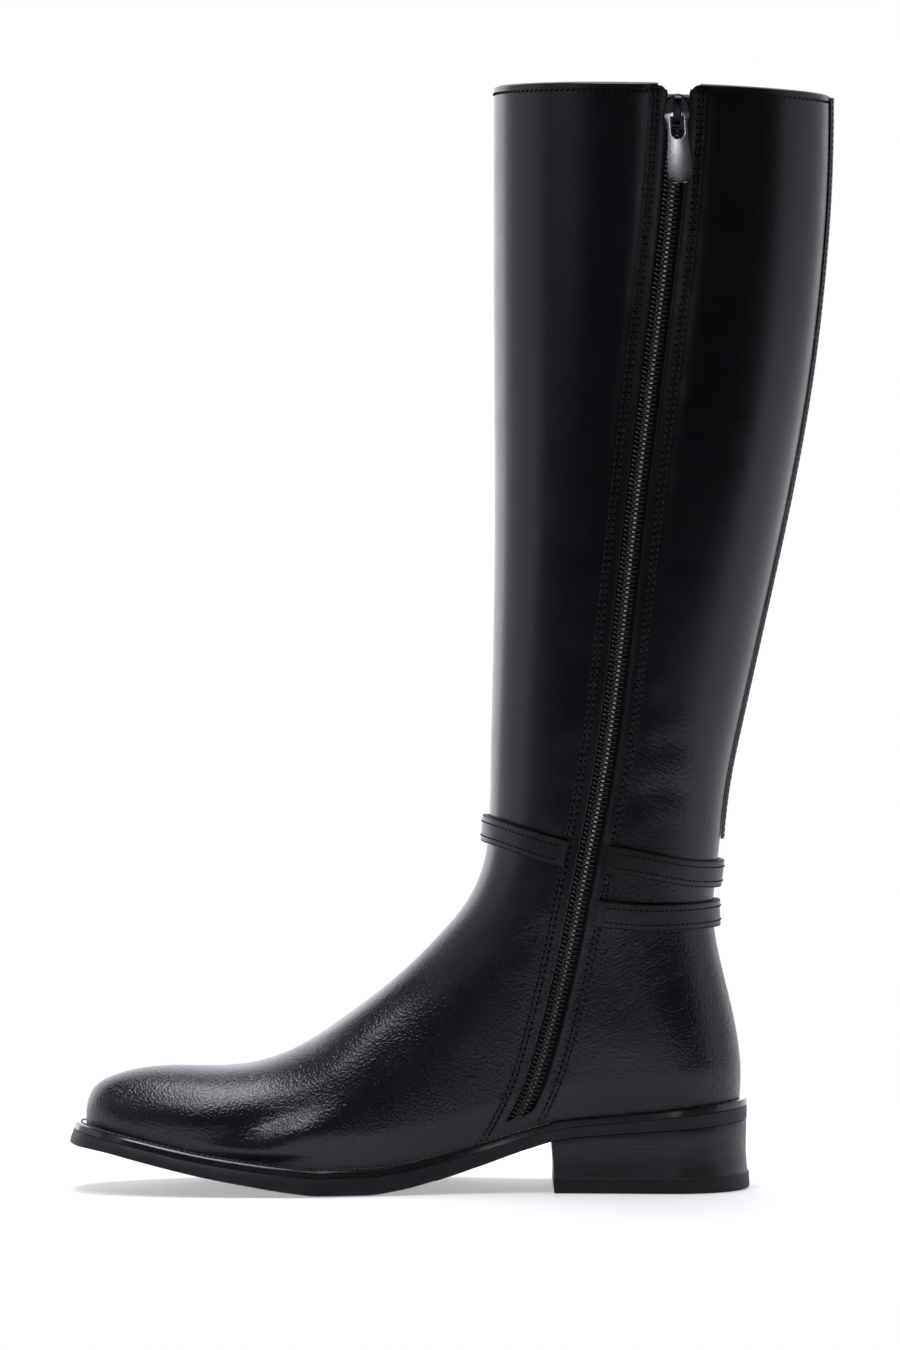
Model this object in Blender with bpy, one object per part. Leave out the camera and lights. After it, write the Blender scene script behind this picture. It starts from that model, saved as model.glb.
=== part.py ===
"""Tall leather riding boot for the right foot, with a full-length zip on the inner side.

Sizes are millimetres. The toe points to -X, the zip side faces -Y and Z is up.
The upper and all that lies on it come from one form: a front and a back line in the side view,
half widths along the foot and half widths up the leg. An offset grows or shrinks that form.
"""
import math

import bmesh
import bpy
import numpy as np
from mathutils import Matrix, Vector

MM = 0.001
MIDDLE_SHIFT = Vector((0.0, 2.5, 0.0))

# Thicknesses and clearances
GAP = 0.3
UPPER_WALL = 2.2
WELT_THICKNESS = 3.0
INSOLE_THICKNESS = 2.0
INSOLE_INSET = 4.6
STAY_THICKNESS = 1.2

# Form of the last
ROUNDNESS = 2.2
TOE_X = -142.0
HEEL_X = 112.4
TOE_ROUND = 20.0
HEEL_ROUND = 28.0
SIDE_BULGE = 2.4
SIDE_BULGE_HEIGHT = 15.0
ANKLE_BLEND = (45.0, 120.0)
COLLAR_FRONT_Z = 428.2
COLLAR_BACK_Z = 424.6
COLLAR_ARCH = 1.2
LINE_POINTS = 900

# Sole and heel
EDGE_SLANT = 1.6
TREAD_ROLL = 4.0
BREAST_X = 38.8
BREAST_RAKE = 1.0
TOP_PIECE_HEIGHT = 6.2
SOLE_STATIONS = 56
HEEL_STATIONS = 16

# Upper mesh
TOE_CORNER_X = -126.0
SIDE_COLUMNS = 16
END_CROWDING = 0.06

# Straps
ANKLE_AXIS_X = 60.0
STRAP_WIDTH = 10.4
STRAP_THICKNESS = 2.3
STRAP_EDGE = 0.7
STRAP_GAP = 0.4
STRAP_SECTIONS = 48

# Zip
SLOT_HALF = 4.7
SLOT_FLARE = 1.5
SLOT_FLARE_HEIGHT = 4.0
SLOT_BOTTOM_Z = 29.0
TAPE_HALF = 11.0
TAPE_FOOT_HALF = 6.4
TAPE_THICKNESS = 0.8
TAPE_GAP = 0.6
CHAIN_HALF = 3.4
CHAIN_TOP = 0.2
ZIP_SECTIONS = 28

# Slider and pull tab
PIN_Z = 416.0
PLATE_LOW = 0.5
PLATE_HIGH = 2.0
PLATE_HALF = 5.2
PLATE_RISE = 8.2
PLATE_DROP = 6.2
BRIDGE_HALF = 1.5
PIN_HEIGHT = 3.2
PIN_HALF = 0.55
TAB_THICKNESS = 1.2
TAB_LEAN_DEG = 3.0
WINDOW_HALF = 2.7
WINDOW_LENGTH = 9.2


def table(names, *rows):
    """Columns by name, from rows written one section to a line."""
    return {name: np.array(column, float) for name, column in zip(names.split(), zip(*rows))}


# Front line from the toe up the instep and shin, with the depth over which the section rounds in
FRONT_ROWS = table(
    "x z round",
    (-141.0, 6.0, 20.0),
    (-141.8, 20.0, 20.0),
    (-142.3, 31.0, 20.5),
    (-139.4, 39.2, 21.5),
    (-131.5, 44.1, 23.0),
    (-119.0, 47.1, 25.0),
    (-104.0, 47.6, 27.0),
    (-88.0, 47.3, 30.0),
    (-73.0, 49.4, 35.0),
    (-58.0, 55.6, 41.0),
    (-40.4, 67.2, 48.0),
    (-21.6, 81.8, 54.0),
    (-3.5, 99.7, 53.0),
    (7.0, 113.2, 49.0),
    (12.6, 126.8, 46.0),
    (14.7, 143.0, 45.5),
    (15.3, 166.0, 46.0),
    (16.0, 200.0, 49.0),
    (16.8, 250.0, 55.0),
    (16.7, 300.0, 60.0),
    (16.4, 360.0, 64.0),
    (16.6, 450.0, 65.0),
)

# Back line from the heel seat up the calf
BACK_ROWS = table(
    "x z round",
    (112.0, 6.0, 27.0),
    (112.4, 32.0, 27.0),
    (113.0, 44.0, 28.0),
    (111.8, 58.0, 30.0),
    (107.8, 77.0, 34.0),
    (103.8, 94.0, 39.0),
    (102.2, 107.0, 42.0),
    (102.9, 119.0, 43.5),
    (104.6, 134.0, 45.0),
    (107.0, 155.0, 46.0),
    (112.5, 183.0, 48.5),
    (122.6, 228.5, 53.0),
    (132.8, 276.5, 58.0),
    (139.9, 318.0, 61.5),
    (144.2, 355.0, 64.0),
    (146.7, 390.0, 65.0),
    (147.3, 450.0, 65.5),
)

# Foot seen from above: half width at the feather line, middle of the last, welt beyond the upper
FOOT = table(
    "x half_width middle welt",
    (-150.0, 20.5, -8.0, 6.8),
    (-132.0, 23.7, -6.8, 6.6),
    (-122.0, 27.0, -5.6, 6.4),
    (-112.0, 31.0, -4.6, 6.2),
    (-97.0, 35.5, -3.0, 6.0),
    (-80.0, 38.8, -1.2, 5.8),
    (-60.0, 40.8, 0.6, 5.5),
    (-40.0, 40.0, 2.2, 5.0),
    (-20.0, 36.4, 3.3, 4.0),
    (0.0, 32.4, 3.6, 3.0),
    (20.0, 29.6, 2.9, 2.5),
    (40.0, 28.4, 1.8, 2.5),
    (62.0, 28.4, 0.8, 2.7),
    (85.0, 28.8, 0.0, 2.9),
    (120.0, 28.8, 0.0, 3.0),
)

LEG = table(
    "z half_width",
    (40.0, 30.2),
    (80.0, 31.8),
    (110.0, 33.8),
    (130.0, 35.2),
    (155.0, 37.0),
    (190.0, 40.2),
    (230.0, 44.2),
    (270.0, 47.6),
    (310.0, 50.0),
    (350.0, 51.4),
    (390.0, 51.6),
    (450.0, 51.0),
)

# Underside of the outsole and the sole's full thickness: toe spring, flat tread at the ball, arch, heel seat
SOLE_LINE = table(
    "x z thick",
    (-156.0, 21.4, 7.8),
    (-140.0, 17.6, 8.0),
    (-118.0, 12.2, 8.5),
    (-98.0, 7.6, 8.8),
    (-78.0, 3.8, 9.4),
    (-63.0, 1.3, 10.0),
    (-51.0, 0.0, 10.2),
    (-33.0, 0.0, 10.4),
    (-20.0, 1.6, 10.2),
    (-8.0, 4.5, 9.8),
    (11.0, 10.5, 8.8),
    (30.0, 17.2, 7.9),
    (42.0, 20.6, 7.5),
    (58.0, 22.4, 7.5),
    (89.0, 24.6, 8.3),
    (112.0, 26.6, 8.8),
    (122.0, 27.2, 8.8),
)

# Sections of the upper: way along the front line, way along the feather and back lines, rows of mesh up to it
SECTIONS = table(
    "front under rows",
    (0.0, 0.0, 0),
    (17.5, 8.0, 2),
    (43.0, 22.0, 3),
    (63.0, 40.0, 2),
    (98.0, 66.0, 4),
    (124.0, 98.0, 3),
    (150.0, 134.0, 3),
    (172.0, 176.0, 4),
    (184.0, 210.4, 3),
    (188.0, 220.4, 1),
    (191.5, 228.4, 1),
    (194.5, 233.4, 1),
    (197.5, 236.4, 1),
    (200.5, 237.9, 1),
    (203.5, 238.4, 1),
    (214.0, 275.0, 4),
    (232.0, 315.0, 3),
    (262.0, 352.0, 3),
    (320.0, 428.0, 4),
    (400.0, 519.0, 4),
    (502.0, 632.0, 4),
)
HEEL_SECTION = 14

ZIP_LINE = table(
    "z x",
    (10.0, 14.0),
    (29.5, 26.0),
    (38.0, 30.0),
    (57.0, 36.3),
    (96.6, 45.7),
    (129.0, 52.0),
    (159.0, 57.6),
    (242.0, 67.8),
    (299.0, 74.2),
    (338.0, 78.9),
    (388.0, 84.2),
    (435.0, 87.0),
)

UPPER_STRAP_LINE = table(
    "x z",
    (0.0, 141.0),
    (14.0, 140.2),
    (28.0, 136.4),
    (44.0, 132.0),
    (60.0, 130.0),
    (78.0, 126.8),
    (92.0, 124.0),
    (120.0, 123.0),
)

LOWER_STRAP_LINE = table(
    "x z",
    (30.0, 110.0),
    (57.0, 108.8),
    (71.0, 107.4),
    (85.0, 107.0),
    (120.0, 108.2),
)
LOWER_STRAP_END_X = 50.0

STAY = table(
    "z half_width",
    (136.0, 1.2),
    (137.0, 3.0),
    (140.0, 4.8),
    (146.0, 5.8),
    (200.0, 6.6),
    (300.0, 8.2),
    (430.0, 9.8),
)

TAB = table(
    "down half_width",
    (-0.9, 3.9),
    (-0.5, 4.6),
    (0.3, 4.8),
    (1.4, 4.4),
    (2.8, 3.85),
    (5.0, 3.75),
    (12.0, 4.1),
    (22.5, 4.7),
    (24.6, 4.4),
    (25.7, 2.9),
    (26.1, 1.2),
)


def spline(knots, values, at):
    """Natural cubic curve through values at rising knots, held at its ends."""
    at = np.clip(at, knots[0], knots[-1])
    gaps = np.diff(knots)
    slopes = np.diff(values) / gaps
    size = len(knots)
    system = np.eye(size)
    bend = np.zeros(size)
    for i in range(1, size - 1):
        system[i, i - 1:i + 2] = gaps[i - 1], 2 * (gaps[i - 1] + gaps[i]), gaps[i]
        bend[i] = 6 * (slopes[i] - slopes[i - 1])
    second = np.linalg.solve(system, bend)
    i = np.clip(np.searchsorted(knots, at) - 1, 0, size - 2)
    gap, left, right = gaps[i], at - knots[i], knots[i + 1] - at
    return (
        (second[i] * right**3 + second[i + 1] * left**3) / (6 * gap)
        + (values[i] / gap - second[i] * gap / 6) * right
        + (values[i + 1] / gap - second[i + 1] * gap / 6) * left
    )


def monotone(knots, values, at):
    """Cubic curve that never overshoots its table, so a level stretch stays level."""
    at = np.clip(at, knots[0], knots[-1])
    gaps = np.diff(knots)
    slopes = np.diff(values) / gaps
    lean = np.zeros(len(knots))
    lean[0], lean[-1] = slopes[0], slopes[-1]
    same = slopes[:-1] * slopes[1:] > 0
    before, after = 2 * gaps[1:] + gaps[:-1], gaps[1:] + 2 * gaps[:-1]
    safe = np.where(same, slopes[:-1], 1), np.where(same, slopes[1:], 1)
    lean[1:-1] = np.where(same, (before + after) / (before / safe[0] + after / safe[1]), 0)
    i = np.clip(np.searchsorted(knots, at) - 1, 0, len(knots) - 2)
    gap = gaps[i]
    t = (at - knots[i]) / gap
    return (
        (2 * t**3 - 3 * t**2 + 1) * values[i]
        + (t**3 - 2 * t**2 + t) * gap * lean[i]
        + (3 * t**2 - 2 * t**3) * values[i + 1]
        + (t**3 - t**2) * gap * lean[i + 1]
    )


def ease(t):
    t = np.clip(t, 0, 1)
    return t * t * (3 - 2 * t)


def rounding(t):
    """How wide a section is at a share of its rounding depth."""
    t = np.clip(t, 0, 1)
    return (1 - (1 - t) ** ROUNDNESS) ** (1 / ROUNDNESS)


class FormLine:
    """A smooth line in the side view. Inside is 1 where the boot lies right of it, going up."""

    def __init__(self, rows, inside):
        steps = np.hypot(np.diff(rows["x"]), np.diff(rows["z"]))
        knots = np.concatenate(([0], np.cumsum(steps)))
        at = np.linspace(0, knots[-1], LINE_POINTS)
        self.x = spline(knots, rows["x"], at)
        self.z = spline(knots, rows["z"], at)
        self.round = spline(knots, rows["round"], at)
        run_x, run_z = np.gradient(self.x), np.gradient(self.z)
        run = np.hypot(run_x, run_z)
        self.in_x, self.in_z = inside * run_z / run, -inside * run_x / run
        self.along = np.concatenate(([0], np.cumsum(np.hypot(np.diff(self.x), np.diff(self.z)))))

    def depth(self, x, z):
        """Distance inside the line and the rounding depth there."""
        deep, around = np.empty(len(x)), np.empty(len(x))
        for first in range(0, len(x), 4000):
            part = slice(first, first + 4000)
            away = (x[part, None] - self.x) ** 2 + (z[part, None] - self.z) ** 2
            near = away.argmin(1)
            deep[part] = (x[part] - self.x[near]) * self.in_x[near]
            deep[part] += (z[part] - self.z[near]) * self.in_z[near]
            around[part] = self.round[near]
        return deep, around

    def point(self, along, offset):
        """The point this far along, moved outwards by the offset."""
        x = np.interp(along, self.along, self.x) - offset * np.interp(along, self.along, self.in_x)
        z = np.interp(along, self.along, self.z) - offset * np.interp(along, self.along, self.in_z)
        return x, z

    def along_at(self, z):
        """Way along to a height, for a line that rises all the way there."""
        return np.interp(z, self.z, self.along)


FRONT = FormLine(FRONT_ROWS, 1)
BACK = FormLine(BACK_ROWS, -1)


def sole_z(x):
    return monotone(SOLE_LINE["x"], SOLE_LINE["z"], x)


def feather_z(x):
    """Height of the upper's lower edge, just above the welt."""
    return sole_z(x) + monotone(SOLE_LINE["x"], SOLE_LINE["thick"], x)


def middle(x, z):
    """How far the last's middle swings from the boot's plane."""
    return spline(FOOT["x"], FOOT["middle"], x) * (1 - ease((z - ANKLE_BLEND[0]) / np.ptp(ANKLE_BLEND)))


def half_width(x, z, offset):
    """Half the width of the form at a point of the side view."""
    x, z = np.atleast_1d(x).astype(float), np.atleast_1d(z).astype(float)
    foot = spline(FOOT["x"], FOOT["half_width"], x)
    foot = foot + SIDE_BULGE * ease((z - feather_z(x)) / SIDE_BULGE_HEIGHT)
    leg = spline(LEG["z"], LEG["half_width"], z)
    share = ease((z - ANKLE_BLEND[0]) / np.ptp(ANKLE_BLEND))
    width = foot * (1 - share) + leg * share + offset
    for line in (FRONT, BACK):
        deep, around = line.depth(x, z)
        width = width * rounding((deep + offset) / (around + offset))
    return width


def inner_side(x, z, offset):
    """Points on the zip side of the form."""
    y = middle(x, z) - half_width(x, z, offset)
    return np.column_stack((x, y, z))


def zip_x(z):
    return spline(ZIP_LINE["z"], ZIP_LINE["x"], np.asarray(z, float))


def material(name, colour, roughness, metallic=0.0):
    made = bpy.data.materials.new(name)
    made.use_nodes = True
    shader = made.node_tree.nodes["Principled BSDF"]
    shader.inputs["Base Color"].default_value = (*colour, 1.0)
    shader.inputs["Roughness"].default_value = roughness
    shader.inputs["Metallic"].default_value = metallic
    made.diffuse_color = (*colour, 1.0)
    return made


def piece(name, points, faces, look, frame=None, helper=False):
    """One object from points in millimetres, welded, facing out."""
    mesh = bpy.data.meshes.new(name)
    mesh.from_pydata((np.asarray(points) * MM).tolist(), [], faces)
    shape = bmesh.new()
    shape.from_mesh(mesh)
    bmesh.ops.remove_doubles(shape, verts=shape.verts, dist=0.000001)
    bmesh.ops.recalc_face_normals(shape, faces=shape.faces)
    shape.to_mesh(mesh)
    shape.free()
    mesh.shade_smooth()
    mesh.set_sharp_from_angle(angle=math.radians(38))
    mesh.materials.append(look)
    made = bpy.data.objects.new(name, mesh)
    made.location = MIDDLE_SHIFT * MM
    if frame is not None:
        made.location += frame.to_translation()
        made.rotation_euler = frame.to_euler()
    if helper:
        made.hide_render = True
        made.display_type = "WIRE"
    bpy.context.scene.collection.objects.link(made)
    return made


def loft(name, loops, look, frame=None, helper=False):
    """A solid through closed loops of equal count, capped at both ends."""
    loops = np.asarray(loops, float)
    rows, count = loops.shape[:2]
    faces = []
    for i in range(rows - 1):
        for k in range(count):
            after = (k + 1) % count
            faces.append((i * count + k, i * count + after, (i + 1) * count + after, (i + 1) * count + k))
    faces.append(tuple(range(count)))
    faces.append(tuple(range((rows - 1) * count, rows * count)))
    return piece(name, loops.reshape(-1, 3), faces, look, frame, helper)


def plate(name, levels, look):
    """A solid between two sides of an outline, from its lowest level to its highest.

    Each level holds the inner side and the outer side, station by station from front to back.
    """
    stations = len(levels[0][0])
    points = np.concatenate([np.concatenate(level) for level in levels])
    size = 2 * stations
    faces = []
    for i in range(len(levels) - 1):
        low, high = i * size, (i + 1) * size
        for side in (0, stations):
            for k in range(side, side + stations - 1):
                faces.append((low + k, low + k + 1, high + k + 1, high + k))
        for k in (0, stations - 1):
            faces.append((low + k, low + stations + k, high + stations + k, high + k))
    for base in (0, (len(levels) - 1) * size):
        for k in range(stations - 1):
            faces.append((base + k, base + k + 1, base + stations + k + 1, base + stations + k))
    return piece(name, points, faces, look)


def outline(share, toe_grow, heel_grow, side_grow, front_x=None):
    """Both sides of the foot's outline, grown or shrunk. Stations run from the toe or from front_x."""
    front, back = TOE_X - toe_grow, HEEL_X + heel_grow
    start = front if front_x is None else front_x
    x = start + (back - start) * share
    width = spline(FOOT["x"], FOOT["half_width"], x) + side_grow(x)
    width = width * rounding((x - front) / (TOE_ROUND + toe_grow))
    width = width * rounding((back - x) / (HEEL_ROUND + heel_grow))
    centre = spline(FOOT["x"], FOOT["middle"], x)
    return x, centre - width, centre + width


def edge_outline(share, toe, heel, front_x=None):
    """The welt line, changed by these amounts at the forefoot and at the heel."""

    def side(x):
        return spline(FOOT["x"], FOOT["welt"], x) + np.interp(x, (-50.0, 40.0), (toe, heel))

    return outline(share, FOOT["welt"][0] + toe, FOOT["welt"][-1] + heel, side, front_x)


def level(sides, z):
    x, inner, outer = sides
    z = z(x) if callable(z) else np.full(len(x), float(z))
    return np.column_stack((x, inner, z)), np.column_stack((x, outer, z))


def build_sole(looks):
    round_trip = (1 - np.cos(np.linspace(0, math.pi, SOLE_STATIONS))) / 2

    def welt_low(x):
        return feather_z(x) - GAP - WELT_THICKNESS

    def roll_z(x):
        return sole_z(x) + np.interp(x, (-30.0, 30.0), (1.4, 0.5))

    plate("outsole", [
        level(edge_outline(round_trip, -TREAD_ROLL, -0.4), sole_z),
        level(edge_outline(round_trip, 0.0, 0.0), roll_z),
        level(edge_outline(round_trip, -EDGE_SLANT, 0.0), lambda x: welt_low(x) - GAP),
    ], looks["rubber"])
    plate("welt", [
        level(edge_outline(round_trip, -EDGE_SLANT - 0.4, -0.4), welt_low),
        level(edge_outline(round_trip, -EDGE_SLANT, 0.0), lambda x: welt_low(x) + 0.6),
        level(edge_outline(round_trip, -EDGE_SLANT - 0.4, -0.1), lambda x: welt_low(x) + 1.9),
        level(edge_outline(round_trip, -EDGE_SLANT - 1.4, -1.1), lambda x: welt_low(x) + WELT_THICKNESS),
    ], looks["welt"])
    board = outline(round_trip, -INSOLE_INSET, -INSOLE_INSET, lambda x: -INSOLE_INSET)
    plate("insole", [level(board, feather_z), level(board, lambda x: feather_z(x) + INSOLE_THICKNESS)],
          looks["lining"])

    back_trip = np.sin(np.linspace(0, math.pi / 2, HEEL_STATIONS))
    low = TOP_PIECE_HEIGHT + GAP

    def ring(change, rake):
        return edge_outline(back_trip, change, change, BREAST_X + rake * BREAST_RAKE)

    plate("heel_stack", [
        level(ring(0.3, 1.0), low),
        level(ring(-0.5, 0.6), lambda x: low + 0.45 * (sole_z(x) - GAP - low)),
        level(ring(-0.6, 0.0), lambda x: sole_z(x) - GAP),
    ], looks["heel"])
    plate("heel_top_piece", [
        level(ring(0.7, 1.0), 0.0),
        level(ring(1.1, 1.0), 0.8),
        level(ring(0.8, 1.0), TOP_PIECE_HEIGHT),
    ], looks["top_piece"])


def section_ends(front_way, under_way, offset):
    """Front and under ends of one section of the upper, in the side view."""
    toe = FRONT.along[np.argmax(FRONT.z > feather_z(FRONT.x))]
    front_way = min(toe + front_way, FRONT.along_at(COLLAR_FRONT_Z))
    seat = BACK.along_at(feather_z(np.array([HEEL_X]))[0])
    under = HEEL_X - TOE_CORNER_X
    if under_way <= under:
        x = TOE_CORNER_X + (HEEL_X + offset - TOE_CORNER_X) * under_way / under
        back_end = x, feather_z(np.array([x]))[0]
    else:
        back_end = BACK.point(min(seat + under_way - under, BACK.along_at(COLLAR_BACK_Z)), offset)
    return FRONT.point(front_way, offset), back_end


def section(front_way, under_way, offset, arch):
    """One row of points round the form: inner side from below to the front, then down the outer side."""
    (front_x, front_z), (under_x, under_z) = section_ends(front_way, under_way, offset)
    share = (1 - np.cos(np.linspace(0, math.pi, 240))) / 2
    x = under_x + (front_x - under_x) * share
    z = under_z + (front_z - under_z) * share + arch * 4 * share * (1 - share)
    width, centre = half_width(x, z, offset), middle(x, z)
    width[-1] = 0
    if under_way >= HEEL_X - TOE_CORNER_X - 0.001:
        width[0] = 0
    spread = np.linspace(0, 1, SIDE_COLUMNS)
    sides = []
    for sign in (-1, 1):
        line = np.column_stack((x, centre + sign * width, z))
        run = np.concatenate(([0], np.cumsum(np.linalg.norm(np.diff(line, axis=0), axis=1))))
        even = run[-1] * (spread - END_CROWDING * np.sin(2 * math.pi * spread))
        sides.append(np.column_stack([np.interp(even, run, line[:, i]) for i in range(3)]))
    return np.concatenate((sides[0], sides[1][-2::-1]))


def build_upper(look, cutter_look):
    knots = np.cumsum(SECTIONS["rows"])
    rows = np.arange(knots[-1] + 1)
    open_rows = int(knots[HEEL_SECTION]) + 1
    front_ways = monotone(knots, SECTIONS["front"], rows)
    under_ways = monotone(knots, SECTIONS["under"], rows)
    front_ways[-1], under_ways[-1] = 1000.0, 2000.0
    arches = COLLAR_ARCH * ease((rows - rows[-1] + 2) / 2)
    skins = [
        np.array([section(*ways, offset, arch) for *ways, arch in zip(front_ways, under_ways, arches)])
        for offset in (0.0, -UPPER_WALL)
    ]
    count, across = skins[0].shape[:2]
    inside = count * across
    faces = []
    for i in range(count - 1):
        for k in range(across - 1):
            corner = i * across + k
            quad = (corner, corner + 1, corner + across + 1, corner + across)
            faces.append(quad)
            faces.append(tuple(inside + n for n in quad[::-1]))
    for k in range(across - 1):
        faces.append((k, k + 1, inside + k + 1, inside + k))
        top = (count - 1) * across + k
        faces.append((top, top + 1, inside + top + 1, inside + top))
    for i in range(open_rows - 1):
        for edge in (i * across, i * across + across - 1):
            faces.append((edge, edge + across, inside + edge + across, inside + edge))
    upper = piece("upper", np.concatenate(skins).reshape(-1, 3), faces, look)
    cutter = build_slot_cutter(cutter_look)
    cut = upper.modifiers.new("zip slot", "BOOLEAN")
    cut.operation = "DIFFERENCE"
    cut.solver = "EXACT"
    cut.object = cutter


def slot_half(z):
    """Half width of the zip opening, rounded at the foot and flared at the collar."""
    foot = np.clip((z - SLOT_BOTTOM_Z) / SLOT_HALF, 0, 1)
    flare = ease((z - (COLLAR_FRONT_Z - 1 - SLOT_FLARE_HEIGHT)) / SLOT_FLARE_HEIGHT)
    return SLOT_HALF * np.sqrt(1 - (1 - foot) ** 2) + SLOT_FLARE * flare


def build_slot_cutter(look):
    foot = SLOT_BOTTOM_Z + SLOT_HALF * (1 - np.cos(np.linspace(0.25, math.pi / 2, 6)))
    rise = np.linspace(SLOT_BOTTOM_Z + SLOT_HALF + 6, COLLAR_FRONT_Z - 8, 26)
    top = np.linspace(COLLAR_FRONT_Z - 5.5, COLLAR_FRONT_Z + 6, 7)
    z = np.concatenate((foot, rise, top))
    loops = []
    for height, centre, half in zip(z, zip_x(z), slot_half(z)):
        left, right, near, far = centre - half, centre + half, -90.0, -9.0
        loops.append([(left, near, height), (right, near, height), (right, far, height), (left, far, height)])
    return loft("zip_slot_cutter", loops, look, helper=True)


def build_zip_strip(name, look, z, half, profile):
    """A strip up the zip. The profile holds its share across and its offset from the leather."""
    loops = []
    for height, centre, wide in zip(z, zip_x(z), half):
        x = centre + wide * np.array([share for share, _ in profile])
        loops.append(np.concatenate([
            inner_side(x[k:k + 1], np.array([height]), offset) for k, (_, offset) in enumerate(profile)
        ]))
    loft(name, loops, look)


def build_zip(looks):
    z = np.linspace(SLOT_BOTTOM_Z + 0.4, COLLAR_BACK_Z - 1.5, ZIP_SECTIONS)
    half = TAPE_FOOT_HALF + (TAPE_HALF - TAPE_FOOT_HALF) * ease((z - SLOT_BOTTOM_Z) / 30)
    high = -UPPER_WALL - TAPE_GAP
    low = high - TAPE_THICKNESS
    across = (-1.0, 0.0, 1.0)
    build_zip_strip("zip_tape", looks["tape"], z, half,
                    [(share, high) for share in across] + [(share, low) for share in across[::-1]])
    z = np.linspace(SLOT_BOTTOM_Z + 2.6, COLLAR_BACK_Z - 4.5, ZIP_SECTIONS)
    foot = high + GAP + 0.2
    build_zip_strip("zip_chain", looks["chain"], z, np.full(len(z), CHAIN_HALF), [
        (-1.0, foot), (-1.0, -0.9), (-0.55, CHAIN_TOP), (0.55, CHAIN_TOP), (1.0, -0.9), (1.0, foot),
    ])


def ring_points(angle, line, rise, offset):
    """Points round the ankle at these angles, on the form grown by an offset."""
    near, far = np.full(len(angle), 2.0), np.full(len(angle), 95.0)
    for _ in range(40):
        reach = (near + far) / 2
        x, y = ANKLE_AXIS_X + reach * np.cos(angle), reach * np.sin(angle)
        z = spline(line["x"], line["z"], x) + rise
        within = np.abs(y - middle(x, z)) < half_width(x, z, offset)
        near, far = np.where(within, reach, near), np.where(within, far, reach)
    return np.column_stack((x, y, z))


def angle_at(x, line, rise, side):
    """Angle round the ankle at which a strap edge reaches this x on one side."""
    x = np.array([x])
    z = spline(line["x"], line["z"], x) + rise
    y = middle(x, z) + side * half_width(x, z, GAP)
    return math.atan2(y[0], x[0] - ANKLE_AXIS_X)


def zip_edge_x(line, rise, clearance):
    """Where a strap edge meets a line beside the zip."""
    x = ANKLE_AXIS_X
    for _ in range(6):
        z = spline(line["x"], line["z"], np.array([x])) + rise
        x = zip_x(z)[0] + clearance
    return x


def build_strap(name, look, line, ends):
    """A band round the ankle. Ends gives the first and last angle of an edge that runs this high."""
    half, top, edge = STRAP_WIDTH / 2, STRAP_GAP + STRAP_THICKNESS, STRAP_EDGE
    profile = [
        (-half, STRAP_GAP), (-half, top - edge), (-half + edge, top),
        (half - edge, top), (half, top - edge), (half, STRAP_GAP),
    ]
    share = np.linspace(0, 1, STRAP_SECTIONS)
    lines = []
    for rise, offset in profile:
        first, last = ends(rise)
        lines.append(ring_points(first + (last - first) * share, line, rise, offset))
    loft(name, np.array(lines).transpose(1, 0, 2), look)


def build_straps(look):
    turn = 2 * math.pi

    def upper_ends(rise):
        front = angle_at(zip_edge_x(UPPER_STRAP_LINE, rise, -8.2), UPPER_STRAP_LINE, rise, -1)
        back = angle_at(zip_edge_x(UPPER_STRAP_LINE, rise, 7.6), UPPER_STRAP_LINE, rise, -1)
        return front + turn, back

    def lower_ends(rise):
        outer = angle_at(LOWER_STRAP_END_X, LOWER_STRAP_LINE, rise, 1)
        back = angle_at(zip_edge_x(LOWER_STRAP_LINE, rise, 7.6), LOWER_STRAP_LINE, rise, -1)
        return outer, back

    build_strap("strap_upper", look, UPPER_STRAP_LINE, upper_ends)
    build_strap("strap_lower", look, LOWER_STRAP_LINE, lower_ends)


def back_x(y, z, offset):
    """Where the back of the form grown by an offset lies at this height, off its middle by y."""
    near, far = np.full(len(y), ANKLE_AXIS_X + 10), np.full(len(y), 165.0)
    for _ in range(40):
        x = (near + far) / 2
        within = np.abs(y - middle(x, z)) < half_width(x, z, offset)
        near, far = np.where(within, x, near), np.where(within, far, x)
    return x


def build_back_stay(look):
    z = np.concatenate((STAY["z"][:4], np.linspace(160, COLLAR_BACK_Z - 0.4, 14)))
    across = np.array([-1.0, -0.86, -0.45, 0.0, 0.45, 0.86, 1.0])
    loops = []
    for height, half in zip(z, monotone(STAY["z"], STAY["half_width"], z)):
        y, level_z = half * across, np.full(len(across), height)
        high = np.where(np.abs(across) == 1, GAP + 0.6 * STAY_THICKNESS, GAP + STAY_THICKNESS)
        outer_x = np.array([back_x(y[k:k + 1], level_z[k:k + 1], high[k])[0] for k in range(len(y))])
        inner_x = back_x(y, level_z, GAP)
        loops.append(np.concatenate((
            np.column_stack((outer_x, y, level_z)),
            np.column_stack((inner_x, y, level_z))[::-1],
        )))
    loft("back_stay", loops, look)


def zip_frame(lean):
    """Frame on the leather at the slider: across, down and out, turned in its plane by lean."""
    x, z = zip_x(PIN_Z), PIN_Z
    step = 2.0
    points = inner_side(
        np.array([x, x - step, x + step, zip_x(z - step), zip_x(z + step)]),
        np.array([z, z, z, z - step, z + step]), 0.0)
    down = Vector(points[3] - points[4]).normalized()
    across = Vector(points[2] - points[1])
    out = across.cross(down).normalized()
    if out.y > 0:
        out = -out
    if lean is not None:
        angle = math.radians(lean)
        down = Vector((math.sin(angle), 0.0, -math.cos(angle)))
        down = (down - out * down.dot(out)).normalized()
    across = down.cross(out)
    frame = Matrix((across, down, out)).transposed().to_4x4()
    frame.translation = Vector(points[0]) * MM + out * PIN_HEIGHT * MM
    return frame


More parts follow.
